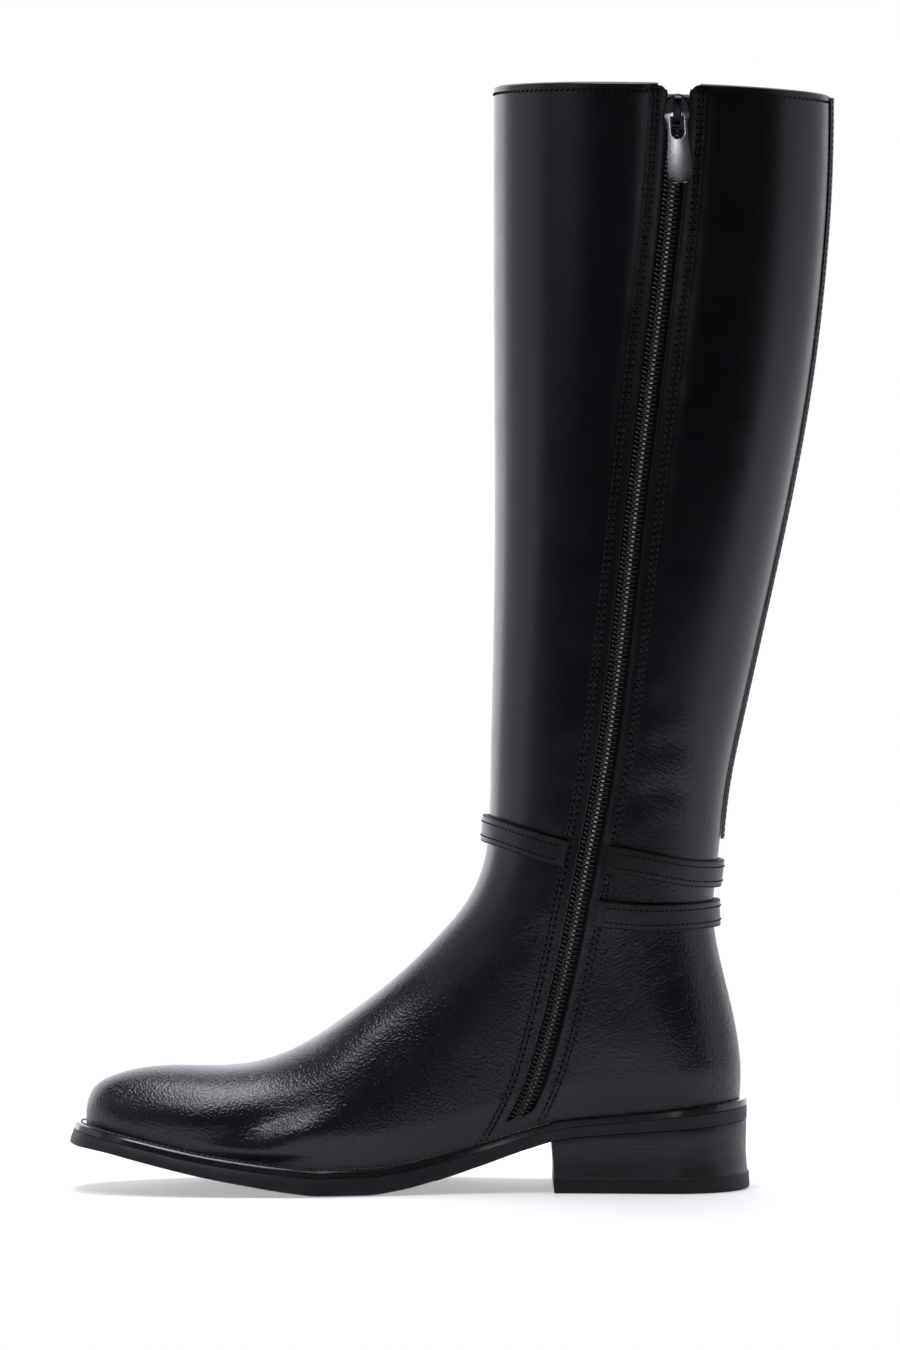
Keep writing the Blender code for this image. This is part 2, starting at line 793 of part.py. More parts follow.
def prism(name, outline_points, low, high, look, frame, helper=False):
    """A flat outline in the frame's across and down, thickened along its out."""
    return loft(name, [[(a, b, n) for a, b in outline_points] for n in (low, high)], look, frame, helper)


def join(target, other, operation):
    change = target.modifiers.new(other.name, "BOOLEAN")
    change.operation = operation
    change.solver = "EXACT"
    change.object = other


def both_sides(rows):
    """A closed outline from half widths listed downwards."""
    return [(wide, down) for down, wide in rows] + [(-wide, down) for down, wide in rows[::-1]]


def build_slider(look):
    frame = zip_frame(None)
    rise = [(-PLATE_RISE * math.cos(t), PLATE_HALF * math.sin(t)) for t in np.linspace(0.2, math.pi / 2, 9)]
    taper = [(PLATE_DROP - 1.0, PLATE_HALF - 0.7), (PLATE_DROP - 0.2, PLATE_HALF - 1.2)]
    body = prism("zip_slider", both_sides(rise + taper), PLATE_LOW - PIN_HEIGHT, PLATE_HIGH - PIN_HEIGHT,
                 look, frame)
    room, high, sunk = 1.15, 2.0, PLATE_HIGH - PIN_HEIGHT - 0.6
    arch = [
        (-7.3, sunk), (-7.3, 0.4), (-6.4, 1.5), (-4.6, high), (2.8, high), (4.4, 1.4), (5.1, 0.2),
        (5.1, sunk), (2.4, sunk), (2.4, room), (-2.4, room), (-2.4, sunk),
    ]
    loops = [[(a, b, n) for b, n in arch] for a in (-BRIDGE_HALF, BRIDGE_HALF)]
    bridge = loft("zip_slider_bridge", loops, look, frame, helper=True)
    join(body, bridge, "UNION")


def build_pull_tab(look):
    frame = zip_frame(TAB_LEAN_DEG)
    half = TAB_THICKNESS / 2
    rows = list(zip(TAB["down"], TAB["half_width"]))
    tab = prism("zip_pull_tab", both_sides(rows), -half, half, look, frame)
    side = [(PIN_HALF, WINDOW_HALF), (WINDOW_LENGTH - WINDOW_HALF, WINDOW_HALF)]
    bow = [
        (WINDOW_LENGTH - WINDOW_HALF * (1 - math.sin(t)), WINDOW_HALF * math.cos(t))
        for t in np.linspace(0, 1.35, 6)[1:]
    ]
    window = prism("zip_pull_window", both_sides(side + bow), -2.0, 2.0, look, frame, helper=True)
    join(tab, window, "DIFFERENCE")


def main():
    for item in list(bpy.data.objects):
        bpy.data.objects.remove(item, do_unlink=True)
    looks = {
        "leather": material("black leather", (0.018, 0.017, 0.020), 0.38),
        "strap": material("strap leather", (0.016, 0.015, 0.018), 0.40),
        "stay": material("stay leather", (0.015, 0.014, 0.016), 0.42),
        "rubber": material("sole rubber", (0.017, 0.017, 0.018), 0.60),
        "welt": material("welt", (0.022, 0.021, 0.022), 0.35),
        "heel": material("stacked heel", (0.024, 0.024, 0.026), 0.48),
        "top_piece": material("heel lift rubber", (0.018, 0.018, 0.019), 0.62),
        "lining": material("insole lining", (0.30, 0.22, 0.15), 0.80),
        "tape": material("zip tape", (0.012, 0.012, 0.013), 0.85),
        "chain": material("zip coil", (0.013, 0.013, 0.014), 0.35),
        "slider": material("slider metal", (0.20, 0.20, 0.22), 0.32, 1.0),
        "tab": material("pull tab metal", (0.24, 0.23, 0.24), 0.34, 1.0),
        "cutter": material("cutter", (0.5, 0.5, 0.5), 0.5),
    }
    build_sole(looks)
    build_upper(looks["leather"], looks["cutter"])
    build_back_stay(looks["stay"])
    build_straps(looks["strap"])
    build_zip(looks)
    build_slider(looks["slider"])
    build_pull_tab(looks["tab"])


main()
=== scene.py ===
"""Looks of the tall riding boot: leather, lining, stitching, zip, sole, light and camera.

Sizes are millimetres in the boot's own frame and become metres where a mesh is made.
The toe points to -X, the zip side faces -Y and Z is up. The last's form is the one that the solids follow.
"""
import math

import bmesh
import bpy
import numpy as np
from mathutils import Matrix, Vector


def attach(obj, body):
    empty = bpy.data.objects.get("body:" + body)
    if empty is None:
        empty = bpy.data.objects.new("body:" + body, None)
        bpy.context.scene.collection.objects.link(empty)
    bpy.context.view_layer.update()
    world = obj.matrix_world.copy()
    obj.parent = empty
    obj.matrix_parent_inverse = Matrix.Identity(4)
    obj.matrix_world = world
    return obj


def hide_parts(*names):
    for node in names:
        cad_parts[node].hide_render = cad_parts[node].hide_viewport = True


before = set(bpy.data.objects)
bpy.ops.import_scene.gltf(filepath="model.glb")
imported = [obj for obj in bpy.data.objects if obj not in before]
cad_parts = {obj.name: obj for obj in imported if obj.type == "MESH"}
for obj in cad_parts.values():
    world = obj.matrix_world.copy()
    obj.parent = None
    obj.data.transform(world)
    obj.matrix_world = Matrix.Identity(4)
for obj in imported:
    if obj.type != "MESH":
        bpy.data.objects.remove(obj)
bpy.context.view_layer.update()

MM = 0.001
WELD_DISTANCE = 0.002

# From the last's own plane to the middle of the boot's box
MIDDLE_SHIFT = np.array([0.0, 2.5, 0.0])

# Thicknesses and clearances
GAP = 0.3
UPPER_WALL = 2.2
WELT_THICKNESS = 3.0
INSOLE_THICKNESS = 2.0
INSOLE_INSET = 4.6
STAY_THICKNESS = 1.2

# Form of the last
ROUNDNESS = 2.2
TOE_X = -142.0
HEEL_X = 112.4
TOE_ROUND = 20.0
HEEL_ROUND = 28.0
SIDE_BULGE = 2.4
SIDE_BULGE_HEIGHT = 15.0
ANKLE_BLEND = (45.0, 120.0)
COLLAR_FRONT_X = 16.5
COLLAR_BACK_X = 147.2
COLLAR_FRONT_Z = 428.2
COLLAR_BACK_Z = 424.6
COLLAR_ARCH = 1.2
PAST_COLLAR = 2000.0
LINE_POINTS = 1500
DEPTH_CHUNK = 2000
TOE_CORNER_X = -126.0

# Upper mesh
SIDE_COLUMNS = 96
ROW_SPLIT = 6
END_CROWDING = 0.06
SECTION_POINTS = 320
NORMAL_STEP = 0.8
EVEN_ROUNDS = 60
ARCH_ROWS = 2

# Where creases fade out: from the middle plane of the last, above the feather line and towards their ends
CREASE_FADE = (2.0, 16.0)
FEATHER_FADE = 6.0
CREASE_END_POWER = 1.3

# Points along the line of a crease, and how far from it the crease is worked, in half widths
CREASE_POINTS = 40
CREASE_REACH = 4.0

# Ridges beside a crease: their place in half widths, and their height for a trough and for a ridge
BESIDE_PLACE = 1.9
BESIDE_TROUGH = 0.4
BESIDE_RIDGE = 0.1

# Leather beside the zip, sewn down along the edge and puffed up beyond the stitches
SEWN_DEPTH = 0.35
SEWN_FADE = (4.0, 9.0)
SEWN_START = (20.0, 40.0)
PUFF_HEIGHT = 0.40
PUFF_PLACE = 10.0
PUFF_HALF = 4.5
PUFF_START = (60.0, 120.0)
PUFF_END = (320.0, 380.0)
PUFF_LOSS = 0.8

# Uneven height of the puffs: the mean share, then each wave's share, length per radian and start
PUFF_MEAN = 0.5
PUFF_WAVE = (0.28, 5.3)
PUFF_RIPPLE = (0.22, 2.9, 2.0)

# Sole and heel
EDGE_SLANT = 1.6
TREAD_ROLL = 0.6
TOE_FALL = 1.5
TOE_FALL_X = -131.0
TOE_FALL_LENGTH = 20.0
FOREFOOT_TO_HEEL = (-50.0, 40.0)
BREAST_X = 38.8
BREAST_RAKE = 1.0
TOP_PIECE_HEIGHT = 6.2
HEEL_STATIONS = 150
RIB_PITCH = 0.85
RIB_DEPTH = 0.42
RIB_END_X = -6.0
SOLE_JOINT = 0.03
WELT_ROW = (2.9, 2.0)

# Straps
ANKLE_AXIS_X = 60.0
STRAP_WIDTH = 10.4
STRAP_THICKNESS = 2.3
STRAP_GAP = 0.4
STRAP_SECTIONS = 150
STRAP_FRONT_CLEAR = -8.2
STRAP_BACK_CLEAR = 7.6
STRAP_END_ROW = 2.6
STRAP_SEARCH = (2.0, 95.0)
ZIP_EDGE_ROUNDS = 6
SEARCH_STEPS = 26
ROW_POINTS = 900

# Back strip: rounded foot, search for the back of the form, least share of the width with stitches
STAY_FOOT = (136.0, 146.0)
STAY_SEARCH = (70.0, 165.0)
STAY_ROW_LEAST = 0.2

# Loss of a strap's thickness at its ends: share lost, and from where to where it comes back
STRAP_END_LOSS = ((0.22, 2.3, 2.8), (0.2, 0.0, 0.9))

# Zip
SLOT_HALF = 4.7
FLAP_CORNER = 3.4
FLAP_TOP_Z = 427.6
SLOT_BOTTOM_Z = 27.5
SLOT_SHIFT = 0.5
HOOK_HEIGHT = 6.5
SLOT_CUT_Y = (-90.0, -9.0)
TURNED_HALF = 0.75
TURNED_ROUND = 0.72
TURNED_SINK = 0.55
TURNED_SHIFT = 0.15
TAPE_HALF = 11.0
TAPE_FOOT_HALF = 6.4
TAPE_FOOT_HEIGHT = 30.0
TAPE_THICKNESS = 0.8
TAPE_GAP = 0.6
COIL_PITCH = 1.8
COIL_RADIUS = 0.40
COIL_DEPTH = 0.7
COIL_END = 0.6
COIL_SLOPES = {-1: 1.0, 1: 0.35}

# Slider and pull tab
PIN_Z = 416.0
PLATE_LOW = 0.5
PLATE_HIGH = 2.0
PLATE_HALF = 5.2
PLATE_RISE = 8.2
PLATE_DROP = 6.2
BRIDGE_HALF = 1.5
PIN_HEIGHT = 3.2
PIN_HALF = 0.55
TAB_THICKNESS = 1.2
TAB_LEAN_DEG = 3.0
WINDOW_HALF = 2.7
WINDOW_LENGTH = 9.2
TAB_CROWN = 0.20
TAB_BOW = 0.9
TAB_BOW_START = 6.0
TAB_BOW_LENGTH = 20.0

# Stitching: distances of the rows from the edges they follow, and stitch lengths
ZIP_ROWS = (3.3, 5.3)
ZIP_STITCH = 2.6
COLLAR_ROW = 2.2
COLLAR_STITCH = 2.4
STRAP_ROW_SHARE = 0.54
STRAP_STITCH = 2.1
STAY_ROW = 1.5
WELT_STITCH = 2.3
THREAD_RADIUS = 0.27
HOLE_HALF = (0.66, 0.55)
HOLE_RISE = 0.06
HOLE_SINK = 0.2


def table(names, *rows):
    """Columns by name, from rows written one section to a line."""
    return {name: np.array(column, float) for name, column in zip(names.split(), zip(*rows))}


# Front line from the toe up the instep and shin, with the depth over which the section rounds in
FRONT_ROWS = table(
    "x z round",
    (-141.0, 6.0, 20.0),
    (-141.8, 20.0, 20.0),
    (-142.3, 31.0, 20.5),
    (-139.4, 39.2, 21.5),
    (-131.5, 44.1, 23.0),
    (-119.0, 47.1, 25.0),
    (-104.0, 47.6, 27.0),
    (-88.0, 47.3, 30.0),
    (-73.0, 49.4, 35.0),
    (-58.0, 55.6, 41.0),
    (-40.4, 67.2, 48.0),
    (-21.6, 81.8, 54.0),
    (-3.5, 99.7, 53.0),
    (7.0, 113.2, 49.0),
    (12.6, 126.8, 46.0),
    (14.7, 143.0, 45.5),
    (15.3, 166.0, 46.0),
    (16.0, 200.0, 49.0),
    (16.8, 250.0, 55.0),
    (16.7, 300.0, 60.0),
    (16.4, 360.0, 64.0),
    (16.6, 450.0, 65.0),
)

# Back line from the heel seat up the calf
BACK_ROWS = table(
    "x z round",
    (112.0, 6.0, 27.0),
    (112.4, 32.0, 27.0),
    (113.0, 44.0, 28.0),
    (111.8, 58.0, 30.0),
    (107.8, 77.0, 34.0),
    (103.8, 94.0, 39.0),
    (102.2, 107.0, 42.0),
    (102.9, 119.0, 43.5),
    (104.6, 134.0, 45.0),
    (107.0, 155.0, 46.0),
    (112.5, 183.0, 48.5),
    (122.6, 228.5, 53.0),
    (132.8, 276.5, 58.0),
    (139.9, 318.0, 61.5),
    (144.2, 355.0, 64.0),
    (146.7, 390.0, 65.0),
    (147.3, 450.0, 65.5),
)

# Foot seen from above: half width at the feather line, middle of the last, welt beyond the upper
FOOT = table(
    "x half_width middle welt",
    (-150.0, 20.5, -8.0, 6.8),
    (-132.0, 23.7, -6.8, 6.6),
    (-122.0, 27.0, -5.6, 6.4),
    (-112.0, 31.0, -4.6, 6.2),
    (-97.0, 35.5, -3.0, 6.0),
    (-80.0, 38.8, -1.2, 5.8),
    (-60.0, 40.8, 0.6, 5.5),
    (-40.0, 40.0, 2.2, 5.0),
    (-20.0, 36.4, 3.3, 4.0),
    (0.0, 32.4, 3.6, 3.0),
    (20.0, 29.6, 2.9, 2.5),
    (40.0, 28.4, 1.8, 2.5),
    (62.0, 28.4, 0.8, 2.7),
    (85.0, 28.8, 0.0, 2.9),
    (120.0, 28.8, 0.0, 3.0),
)

LEG = table(
    "z half_width",
    (40.0, 30.2),
    (80.0, 31.8),
    (110.0, 33.8),
    (130.0, 35.2),
    (155.0, 37.0),
    (190.0, 40.2),
    (230.0, 44.2),
    (270.0, 47.6),
    (310.0, 50.0),
    (350.0, 51.4),
    (390.0, 51.6),
    (450.0, 51.0),
)

# Underside of the outsole and the sole's full thickness: toe spring, flat tread at the ball, arch, heel seat
SOLE_LINE = table(
    "x z thick",
    (-156.0, 21.4, 7.8),
    (-140.0, 17.6, 8.0),
    (-118.0, 12.2, 8.5),
    (-98.0, 7.6, 8.8),
    (-78.0, 3.8, 9.4),
    (-63.0, 1.3, 10.0),
    (-51.0, 0.0, 10.2),
    (-33.0, 0.0, 10.4),
    (-20.0, 1.6, 10.2),
    (-8.0, 4.5, 9.8),
    (11.0, 10.5, 8.8),
    (30.0, 17.2, 7.9),
    (42.0, 20.6, 7.5),
    (58.0, 22.4, 7.5),
    (89.0, 24.6, 8.3),
    (112.0, 26.6, 8.8),
    (122.0, 27.2, 8.8),
)

# Sections of the upper: way along the front line, way along the feather and back lines, rows of mesh up to it
SECTIONS = table(
    "front under rows",
    (0.0, 0.0, 0),
    (17.5, 8.0, 2),
    (43.0, 22.0, 3),
    (63.0, 40.0, 2),
    (98.0, 66.0, 4),
    (124.0, 98.0, 3),
    (150.0, 134.0, 3),
    (172.0, 176.0, 4),
    (184.0, 210.4, 3),
    (188.0, 220.4, 1),
    (191.5, 228.4, 1),
    (194.5, 233.4, 1),
    (197.5, 236.4, 1),
    (200.5, 237.9, 1),
    (203.5, 238.4, 1),
    (214.0, 275.0, 4),
    (232.0, 315.0, 3),
    (262.0, 352.0, 3),
    (320.0, 428.0, 4),
    (400.0, 519.0, 4),
    (502.0, 632.0, 4),
)
HEEL_SECTION = 14

ZIP_LINE = table(
    "z x",
    (10.0, 14.0),
    (29.5, 26.0),
    (38.0, 30.0),
    (57.0, 36.3),
    (96.6, 45.7),
    (129.0, 52.0),
    (159.0, 57.6),
    (242.0, 67.8),
    (299.0, 74.2),
    (338.0, 78.9),
    (388.0, 84.2),
    (435.0, 87.0),
)

UPPER_STRAP_LINE = table(
    "x z",
    (0.0, 141.0),
    (14.0, 140.2),
    (28.0, 136.4),
    (44.0, 132.0),
    (60.0, 130.0),
    (78.0, 126.8),
    (92.0, 124.0),
    (120.0, 123.0),
)

LOWER_STRAP_LINE = table(
    "x z",
    (30.0, 110.0),
    (57.0, 108.8),
    (71.0, 107.4),
    (85.0, 107.0),
    (120.0, 108.2),
)
LOWER_STRAP_END_X = 50.0

STAY = table(
    "z half_width",
    (136.0, 1.2),
    (137.0, 3.0),
    (140.0, 4.8),
    (146.0, 5.8),
    (200.0, 6.6),
    (300.0, 8.2),
    (430.0, 9.8),
)

TAB = table(
    "down half_width",
    (-0.9, 3.9),
    (-0.5, 4.6),
    (0.3, 4.8),
    (1.4, 4.4),
    (2.8, 3.85),
    (5.0, 3.75),
    (12.0, 4.1),
    (22.5, 4.7),
    (24.6, 4.4),
    (25.7, 2.9),
    (26.1, 1.2),
)

# Soft creases of the leather: side, depth, half width and the line of each in x and z.
# The zip side is -1. A depth below zero is a ridge.
CREASES = [
    (-1, 1.00, 9.0, ((-90, 19), (-77, 29), (-62, 38), (-44, 48))),
    (-1, -2.10, 6.2, ((-118, 10), (-98, 13), (-78, 16), (-60, 21), (-40, 29))),
    (-1, 0.85, 5.5, ((-100, 22), (-84, 25), (-66, 31), (-48, 38), (-32, 46))),
    (-1, -2.00, 21.0, ((36, 54), (58, 60), (80, 62), (104, 63))),
    (-1, -1.40, 9.0, ((-56, 52), (-42, 59), (-26, 70), (-10, 88))),
    (-1, 0.30, 8.0, ((-52, 24), (-34, 38), (-18, 54), (-6, 70))),
    (-1, 0.35, 5.0, ((2, 104), (12, 98), (22, 96), (32, 99))),
    (-1, 0.14, 2.4, ((58, 64), (68, 72), (82, 80), (94, 85))),
    (-1, 0.12, 2.2, ((58, 74), (66, 82), (78, 89), (90, 94))),
    (-1, 0.12, 2.2, ((62, 86), (74, 94), (86, 98))),
    (-1, 0.25, 4.0, ((68, 150), (80, 156), (92, 154), (102, 146))),
    (-1, 0.20, 4.0, ((70, 168), (84, 174), (98, 170))),
    (1, 1.20, 9.0, ((-88, 19), (-74, 29), (-58, 38), (-40, 48))),
    (1, 0.45, 6.0, ((2, 104), (14, 97), (28, 95), (42, 98))),
    (1, 0.14, 2.6, ((56, 66), (68, 76), (82, 83), (95, 87))),
    (1, 0.28, 4.0, ((60, 148), (76, 152), (92, 149), (102, 143))),
    (1, 0.22, 4.0, ((64, 164), (80, 168), (96, 164))),
]

# Places where the form is evened out: x, z and reach
EVENED = table(
    "x z reach",
    (-116.0, 33.0, 15.0),
)

# Places where the grain is drawn into fine wrinkles, with their reach along and across the wrinkles
WRINKLES = table(
    "x z along across angle strength",
    (72.0, 84.0, 26.0, 17.0, 30.0, 1.0),
    (60.0, 68.0, 18.0, 9.0, 34.0, 0.6),
    (80.0, 162.0, 26.0, 24.0, -32.0, 0.7),
    (62.0, 139.0, 7.0, 7.0, -40.0, 1.0),
    (24.0, 104.0, 16.0, 12.0, 20.0, 0.35),
    (40.0, 66.0, 12.0, 14.0, 40.0, 0.35),
)


def spline(knots, values, at):
    """Natural cubic curve through values at rising knots, held at its ends."""
    at = np.clip(at, knots[0], knots[-1])
    gaps = np.diff(knots)
    slopes = np.diff(values) / gaps
    size = len(knots)
    system = np.eye(size)
    bend = np.zeros(size)
    for i in range(1, size - 1):
        system[i, i - 1:i + 2] = gaps[i - 1], 2 * (gaps[i - 1] + gaps[i]), gaps[i]
        bend[i] = 6 * (slopes[i] - slopes[i - 1])
    second = np.linalg.solve(system, bend)
    i = np.clip(np.searchsorted(knots, at) - 1, 0, size - 2)
    gap, left, right = gaps[i], at - knots[i], knots[i + 1] - at
    return (
        (second[i] * right**3 + second[i + 1] * left**3) / (6 * gap)
        + (values[i] / gap - second[i] * gap / 6) * right
        + (values[i + 1] / gap - second[i + 1] * gap / 6) * left
    )


def monotone(knots, values, at):
    """Cubic curve that never overshoots its table, so a level stretch stays level."""
    at = np.clip(at, knots[0], knots[-1])
    gaps = np.diff(knots)
    slopes = np.diff(values) / gaps
    lean = np.zeros(len(knots))
    lean[0], lean[-1] = slopes[0], slopes[-1]
    same = slopes[:-1] * slopes[1:] > 0
    before, after = 2 * gaps[1:] + gaps[:-1], gaps[1:] + 2 * gaps[:-1]
    safe = np.where(same, slopes[:-1], 1), np.where(same, slopes[1:], 1)
    lean[1:-1] = np.where(same, (before + after) / (before / safe[0] + after / safe[1]), 0)
    i = np.clip(np.searchsorted(knots, at) - 1, 0, len(knots) - 2)
    gap = gaps[i]
    t = (at - knots[i]) / gap
    return (
        (2 * t**3 - 3 * t**2 + 1) * values[i]
        + (t**3 - 2 * t**2 + t) * gap * lean[i]
        + (3 * t**2 - 2 * t**3) * values[i + 1]
        + (t**3 - t**2) * gap * lean[i + 1]
    )


def ease(t):
    t = np.clip(t, 0, 1)
    return t * t * (3 - 2 * t)


def ramp(value, start, end):
    """Smooth step from 0 at start to 1 at end."""
    return ease((value - start) / (end - start))


def round_trip(count):
    """Shares from 0 to 1, closer together at both ends."""
    return (1 - np.cos(np.linspace(0, math.pi, count))) / 2


def rounding(t):
    """How wide a section is at a share of its rounding depth."""
    t = np.clip(t, 0, 1)
    return (1 - (1 - t) ** ROUNDNESS) ** (1 / ROUNDNESS)


class FormLine:
    """A smooth line in the side view. Inside is 1 where the boot lies right of it, going up."""

    def __init__(self, rows, inside):
        steps = np.hypot(np.diff(rows["x"]), np.diff(rows["z"]))
        knots = np.concatenate(([0], np.cumsum(steps)))
        at = np.linspace(0, knots[-1], LINE_POINTS)
        self.x = spline(knots, rows["x"], at)
        self.z = spline(knots, rows["z"], at)
        self.round = spline(knots, rows["round"], at)
        run_x, run_z = np.gradient(self.x), np.gradient(self.z)
        run = np.hypot(run_x, run_z)
        self.in_x, self.in_z = inside * run_z / run, -inside * run_x / run
        self.along = np.concatenate(([0], np.cumsum(np.hypot(np.diff(self.x), np.diff(self.z)))))
        self.inside = inside

    def depth(self, x, z):
        """Distance inside the line and the rounding depth there."""
        way = np.empty(len(x))
        for first in range(0, len(x), DEPTH_CHUNK):
            part = slice(first, first + DEPTH_CHUNK)
            away = (x[part, None] - self.x) ** 2 + (z[part, None] - self.z) ** 2
            near = away.argmin(1)
            off_x, off_z = x[part] - self.x[near], z[part] - self.z[near]
            ahead = off_x * -self.in_z[near] + off_z * self.in_x[near]
            way[part] = self.along[near] + self.inside * ahead
        foot_x, foot_z = self.point(way, 0.0)
        in_x, in_z = np.interp(way, self.along, self.in_x), np.interp(way, self.along, self.in_z)
        return (x - foot_x) * in_x + (z - foot_z) * in_z, np.interp(way, self.along, self.round)

    def point(self, along, offset):
        """The point this far along, moved outwards by the offset."""
        x = np.interp(along, self.along, self.x) - offset * np.interp(along, self.along, self.in_x)
        z = np.interp(along, self.along, self.z) - offset * np.interp(along, self.along, self.in_z)
        return x, z

    def along_at(self, z):
        """Way along to a height, for a line that rises all the way there."""
        return np.interp(z, self.z, self.along)


FRONT = FormLine(FRONT_ROWS, 1)
BACK = FormLine(BACK_ROWS, -1)


def sole_z(x):
    return monotone(SOLE_LINE["x"], SOLE_LINE["z"], x)


def feather_z(x):
    """Height of the upper's lower edge, just above the welt."""
    return sole_z(x) + monotone(SOLE_LINE["x"], SOLE_LINE["thick"], x)


def welt_low(x):
    return feather_z(x) - GAP - WELT_THICKNESS


def middle(x, z):
    """How far the last's middle swings from the boot's plane."""
    return spline(FOOT["x"], FOOT["middle"], x) * (1 - ramp(z, *ANKLE_BLEND))


def half_width(x, z, offset):
    """Half the width of the form at a point of the side view."""
    x, z = np.atleast_1d(x).astype(float), np.atleast_1d(z).astype(float)
    foot = spline(FOOT["x"], FOOT["half_width"], x)
    foot = foot + SIDE_BULGE * ease((z - feather_z(x)) / SIDE_BULGE_HEIGHT)
    leg = spline(LEG["z"], LEG["half_width"], z)
    share = ramp(z, *ANKLE_BLEND)
    width = foot * (1 - share) + leg * share + offset
    for line in (FRONT, BACK):
        deep, around = line.depth(x, z)
        width = width * rounding((deep + offset) / (around + offset))
    return width


def inner_side(x, z, offset):
    """Points on the zip side of the form."""
    return np.column_stack((x, middle(x, z) - half_width(x, z, offset), z))


def zip_x(z):
    return spline(ZIP_LINE["z"], ZIP_LINE["x"], np.asarray(z, float))


def slot_x(z):
    """Middle of the zip opening, which lies a little behind the coil."""
    return zip_x(z) + SLOT_SHIFT


def slot_edge(z, side):
    """How far the opening's edge lies from its middle. At the foot the back edge hooks round to the front."""
    corner = np.clip((z - FLAP_TOP_Z) / FLAP_CORNER + 1, 0, 1)
    flare = FLAP_CORNER * (1 - np.sqrt(1 - corner**2))
    if side < 0:
        return SLOT_HALF + flare
    hook = np.clip((z - SLOT_BOTTOM_Z) / HOOK_HEIGHT, 0, 1)
    return SLOT_HALF * (2 * np.sqrt(1 - (1 - hook) ** 2) - 1) + flare


def hook_z(start, count):
    """Heights up the hooked foot of the opening, closer together at the bottom."""
    return SLOT_BOTTOM_Z + HOOK_HEIGHT * (1 - np.cos(np.linspace(start, math.pi / 2, count)))


def collar_z(x):
    """Height of the collar's edge seen from the side."""
    share = np.clip((x - COLLAR_FRONT_X) / (COLLAR_BACK_X - COLLAR_FRONT_X), 0, 1)
    arch = COLLAR_ARCH * 4 * share * (1 - share)
    return COLLAR_FRONT_Z + (COLLAR_BACK_Z - COLLAR_FRONT_Z) * share + arch


# Small vector tools


def unit(vectors):
    return vectors / np.maximum(np.linalg.norm(vectors, axis=-1, keepdims=True), 1e-9)


def run_along(points):
    """Length along a line of points, from its start to each point."""
    return np.concatenate(([0], np.cumsum(np.linalg.norm(np.diff(points, axis=0), axis=1))))


def values_at(at, run, values):
    """A line's points or directions at these lengths along it."""
    return np.stack([np.interp(at, run, column) for column in values.T], -1)


def even_points(points, count):
    """The same line with evenly spaced points."""
    run = run_along(points)
    return values_at(np.linspace(0, run[-1], count), run, points)


def stand_at(at, line, normals):
    """Places along a line on a surface, with the directions out of the surface and ahead."""
    run = run_along(line)
    ahead = unit(values_at(at, run, np.gradient(line, axis=0)))
    return values_at(at, run, line), unit(values_at(at, run, normals)), ahead


def mirrored(half):
    """Steps across the whole width from those across one half."""
    return np.concatenate((-half[:0:-1], half))


def grid_normals(grid, outward):
    """Normals of a grid of points, turned to the side that outward gives."""
    across, along = np.gradient(grid, axis=1), np.gradient(grid, axis=0)
    normals = unit(np.cross(across, along))
    turn = np.sign((normals * outward).sum(-1).sum())
    return normals * turn


def from_axis(points):
    """Rough outward directions from the ankle's axis."""
    away = points - np.array([ANKLE_AXIS_X, 0.0, 0.0])
    away[..., 2] = 0
    return unit(away)


# Making pieces


def piece(name, points, faces, looks, body="boot", slot=None, stands_for=(), face_looks=None, sharp=38,
          matrix=None):
    """One object from points in millimetres, welded, facing out, riding on a body."""
    points = np.asarray(points, float) * MM
    if matrix is None:
        points = points + MIDDLE_SHIFT * MM
    mesh = bpy.data.meshes.new(name)
    mesh.from_pydata(points.tolist(), [], faces)
    for each in looks if isinstance(looks, list) else [looks]:
        mesh.materials.append(each)
    if face_looks is not None:
        mesh.polygons.foreach_set("material_index", np.asarray(face_looks, np.int32))
    shape = bmesh.new()
    shape.from_mesh(mesh)
    bmesh.ops.remove_doubles(shape, verts=shape.verts, dist=WELD_DISTANCE * MM)
    bmesh.ops.recalc_face_normals(shape, faces=shape.faces)
    shape.to_mesh(mesh)
    shape.free()
    mesh.shade_smooth()
    mesh.set_sharp_from_angle(angle=math.radians(sharp))
    made = bpy.data.objects.new(name, mesh)
    if matrix is not None:
        made.matrix_world = Matrix.Translation(Vector(MIDDLE_SHIFT * MM)) @ matrix
    bpy.context.scene.collection.objects.link(made)
    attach(made, body)
    if stands_for:
        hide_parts(*stands_for)
    return made


def grid_faces(rows, columns, first=0, wrap=False):
    """Quads over a grid of points numbered row by row."""
    faces = []
    for i in range(rows - 1):
        for k in range(columns if wrap else columns - 1):
            after = (k + 1) % columns
            a, b = first + i * columns, first + (i + 1) * columns
            faces.append((a + k, a + after, b + after, b + k))
    return faces


def capped_faces(rows, columns, first=0):
    """Faces over rings of points, closed at both ends."""
    last = first + (rows - 1) * columns
    caps = [tuple(range(first, first + columns))[::-1], tuple(range(last, last + columns))]
    return grid_faces(rows, columns, first, wrap=True) + caps


def shell(outer, inner):
    """Points and faces of a closed sheet between two grids of the same size."""
    rows, columns = outer.shape[:2]
    size = rows * columns
    faces = grid_faces(rows, columns) + [face[::-1] for face in grid_faces(rows, columns, size)]
    rim = list(range(columns))
    rim += [i * columns + columns - 1 for i in range(1, rows)]
    rim += [(rows - 1) * columns + k for k in range(columns - 2, -1, -1)]
    rim += [i * columns for i in range(rows - 2, 0, -1)]
    for n, corner in enumerate(rim):
        after = rim[(n + 1) % len(rim)]
        faces.append((corner, size + corner, size + after, after))
    return np.concatenate((outer.reshape(-1, 3), inner.reshape(-1, 3))), faces


